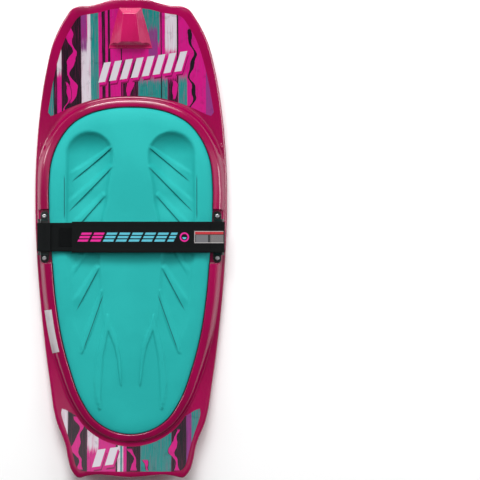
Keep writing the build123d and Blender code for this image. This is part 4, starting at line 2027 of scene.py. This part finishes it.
@dataclass
class Kneeboard:
    """All pieces of the board with their finishes."""

    strap_middle: float = 5.0

    def build_board(self) -> None:
        """Build the skins, fins, films and label."""
        form = Form()
        shells = Shells(form)
        deck = GlossMoulding(shade(154, 0, 72), shade(130, 0, 58), 0.13).make("deck_gloss")
        hull = GlossMoulding(shade(196, 42, 98), shade(180, 30, 88), 0.3, 0.1).make("hull_gloss")
        shells.build_deck(deck)
        self.build_nubs(deck)
        shells.build_hull(hull)
        shells.build_fins(hull)
        prints = Prints(form, shells)
        prints.build_nose(NOSE_PRINT.make("nose_print"))
        prints.build_tail(TAIL_PRINT.make("tail_print"))
        foil = HardFinish(shade(196, 190, 194), shade(164, 158, 164), 0.4, 0.2, 700, 0.04, brushed=True)
        prints.build_label(foil.make("label_foil"))
        foam = PadFoam(shade(26, 168, 164), shade(16, 156, 153), shade(2, 68, 72))
        KneePad(form).build(foam.make("pad_foam"))
        # The hook's colours are lighter than the deck's: a painted highlight for the light that its top face
        # catches.
        hook = GlossMoulding(shade(192, 24, 92), shade(168, 12, 76), 0.22)
        piece = Piece("tow_hook_body", "board", "deck", ("tow_hook",))
        merged_copy("tow_hook", piece, hook.make("hook_gloss_painted_highlight"), 1.2)

    def build_hardware(self) -> None:
        """Build the brackets and their screws, and finish the hidden fixings."""
        nylon = HardFinish(shade(16, 16, 18), shade(34, 34, 38), 0.2, coat=0.5)
        nylon = nylon.make("bracket_nylon")
        steel = HardFinish(shade(205, 205, 208), shade(150, 150, 156), 0.2, 1.0, 800, 0.03)
        steel = steel.make("screw_steel")
        brass = HardFinish(shade(196, 158, 82), shade(140, 108, 52), 0.3, 1.0, 600, 0.04)
        brass = brass.make("insert_brass")
        plug = HardFinish(shade(28, 28, 30), shade(48, 48, 50), 0.6, grain=300, depth=0.2)
        plug = plug.make("plug_rubber")
        core = HardFinish(shade(226, 208, 160), shade(206, 184, 132), 0.85, grain=220, depth=0.8)
        core = core.make("core_foam")
        blackened = HardFinish(shade(40, 40, 43), shade(70, 70, 74), 0.35, 0.8, 800, 0.03)
        blackened = blackened.make("washer_black")
        metals = {"screw": steel, "washer": blackened}
        for side, sign in (("left", -1), ("right", 1)):
            self.build_flange(side, sign, nylon)
            node = f"strap_bracket_{side}"
            merged_copy(node, Piece(f"{node}_body", "board", "bracket", (node,)), nylon, 0.9)
            for end in ("front", "rear"):
                for kind, bevel in (("screw", 0.35), ("washer", 0.2)):
                    node = f"bracket_{kind}_{side}_{end}"
                    merged_copy(node, Piece(f"{node}_body", "board", "steel", (node,)), metals[kind], bevel)
                self.carry(f"bracket_insert_{side}_{end}", brass)
        self.carry("fill_plug", plug)
        self.carry("vent_plug", plug)
        self.carry("foam_core", core)

    def build_flange(self, side: str, sign: int, material: bpy.types.Material) -> None:
        """Lay the bracket's rounded foot flange in its notch.

        Args:
            side: The bracket's side by name.
            sign: -1 on the left and 1 on the right.
            material: Its finish.
        """
        middle, half_length, radius, top = 230.0, 69.0, 11.0, 41.6
        mesh = bmesh.new()
        bmesh.ops.create_circle(mesh, cap_ends=True, segments=64, radius=radius)
        for vert in mesh.verts:
            vert.co.y += math.copysign(half_length - radius, vert.co.y)
        for face in bmesh.ops.extrude_face_region(mesh, geom=mesh.faces[:])["geom"]:
            if isinstance(face, bmesh.types.BMVert):
                face.co.z += 1.6
        bmesh.ops.translate(mesh, verts=mesh.verts, vec=(sign * middle, self.strap_middle, top - 1.6))
        bmesh.ops.recalc_face_normals(mesh, faces=mesh.faces)
        made = finished(mesh, Piece(f"bracket_flange_{side}", "board", "bracket"), material)
        rounding = made.modifiers.new("rounding", "BEVEL")
        rounding.width = 0.5 * MM
        rounding.segments = 3

    def build_nubs(self, material: bpy.types.Material) -> None:
        """Raise the two small moulded nubs on the deck's flange.

        Args:
            material: The finish of its surface.
        """
        form = Form()
        for side, sign in (("left", -1), ("right", 1)):
            mesh = bmesh.new()
            bmesh.ops.create_uvsphere(mesh, u_segments=32, v_segments=16, radius=1.0)
            bmesh.ops.scale(mesh, vec=(3.6, 9.0, 2.6), verts=mesh.verts)
            bmesh.ops.translate(mesh, verts=mesh.verts, vec=(sign * 241.0, 248.0, form.deck(248.0) - 0.4))
            finished(mesh, Piece(f"deck_nub_{side}", "board", "deck"), material)

    @staticmethod
    def carry(node: str, material: bpy.types.Material) -> None:
        """Give a carried-over node its finish.

        Args:
            node: The node's name.
            material: Its finish.
        """
        data = bpy.data.objects[node].data
        data.materials.clear()
        data.materials.append(material)

    def build_strap(self) -> None:
        """Build both halves of the thigh strap, layer by layer."""
        long_path, short_path = StrapPath(1, 1200.0), StrapPath(-1, 1195.0)
        black, thread = shade(3, 6, 7), shade(12, 15, 16)
        printed = Weave(black, thread, 1.6, 41.0, True).make("webbing_printed")
        plain = Weave(black, thread, 1.6, 38.0).make("webbing_plain")
        padding = Weave(shade(20, 21, 24), shade(36, 38, 42), 2.4, 37.0).make("padding_knit")
        hooks = TapePile(shade(22, 22, 24), shade(60, 60, 64), 1.6).make("tape_hooks")
        loops = TapePile(shade(6, 8, 9), shade(16, 18, 20), 2.2).make("tape_loops")
        label = WovenLabel(168.0, 256.0, 17.5).make("label_woven")
        long_half = {"path": long_path, "body": "strap_long"}
        short_half = {"path": short_path, "body": "strap_short"}
        rows = (
            (Layer(**long_half, name="long_webbing", height=0, thickness=2, width=82, start=-155, end=None,
                   slot="webbing", node="strap_long_webbing", bound=0.5), printed),
            (Layer(**long_half, name="long_padding", height=-3, thickness=4, width=74, start=-50, end=200,
                   slot="padding", node="strap_long_padding", padded=True), padding),
            (Layer(**long_half, name="long_hook_tape", height=-1.75, thickness=1.5, width=50, start=-153,
                   end=-58, slot="tape", node="strap_long_hook_tape"), hooks),
            (Layer(**long_half, name="long_label", height=1.35, thickness=0.5, width=35, start=168, end=247,
                   slot="woven_label", node="strap_label"), label),
            (Layer(**short_half, name="short_webbing", height=0, thickness=2, width=76, start=60, end=None,
                   slot="webbing", node="strap_short_webbing", bound=0.5), plain),
            (Layer(**short_half, name="short_loop_tape", height=1.6, thickness=1.2, width=50, start=62,
                   end=190, slot="tape", node="strap_short_loop_tape"), loops),
        )  # fmt: skip
        for layer, material in rows:
            layer.build(material, self.strap_middle)


def main() -> None:
    """Build the board, the strap and the studio."""
    logging.basicConfig(level=logging.INFO, format="%(message)s")
    board = Kneeboard()
    board.build_board()
    board.build_hardware()
    board.build_strap()
    Studio().build()


if __name__ == "__main__":
    main()
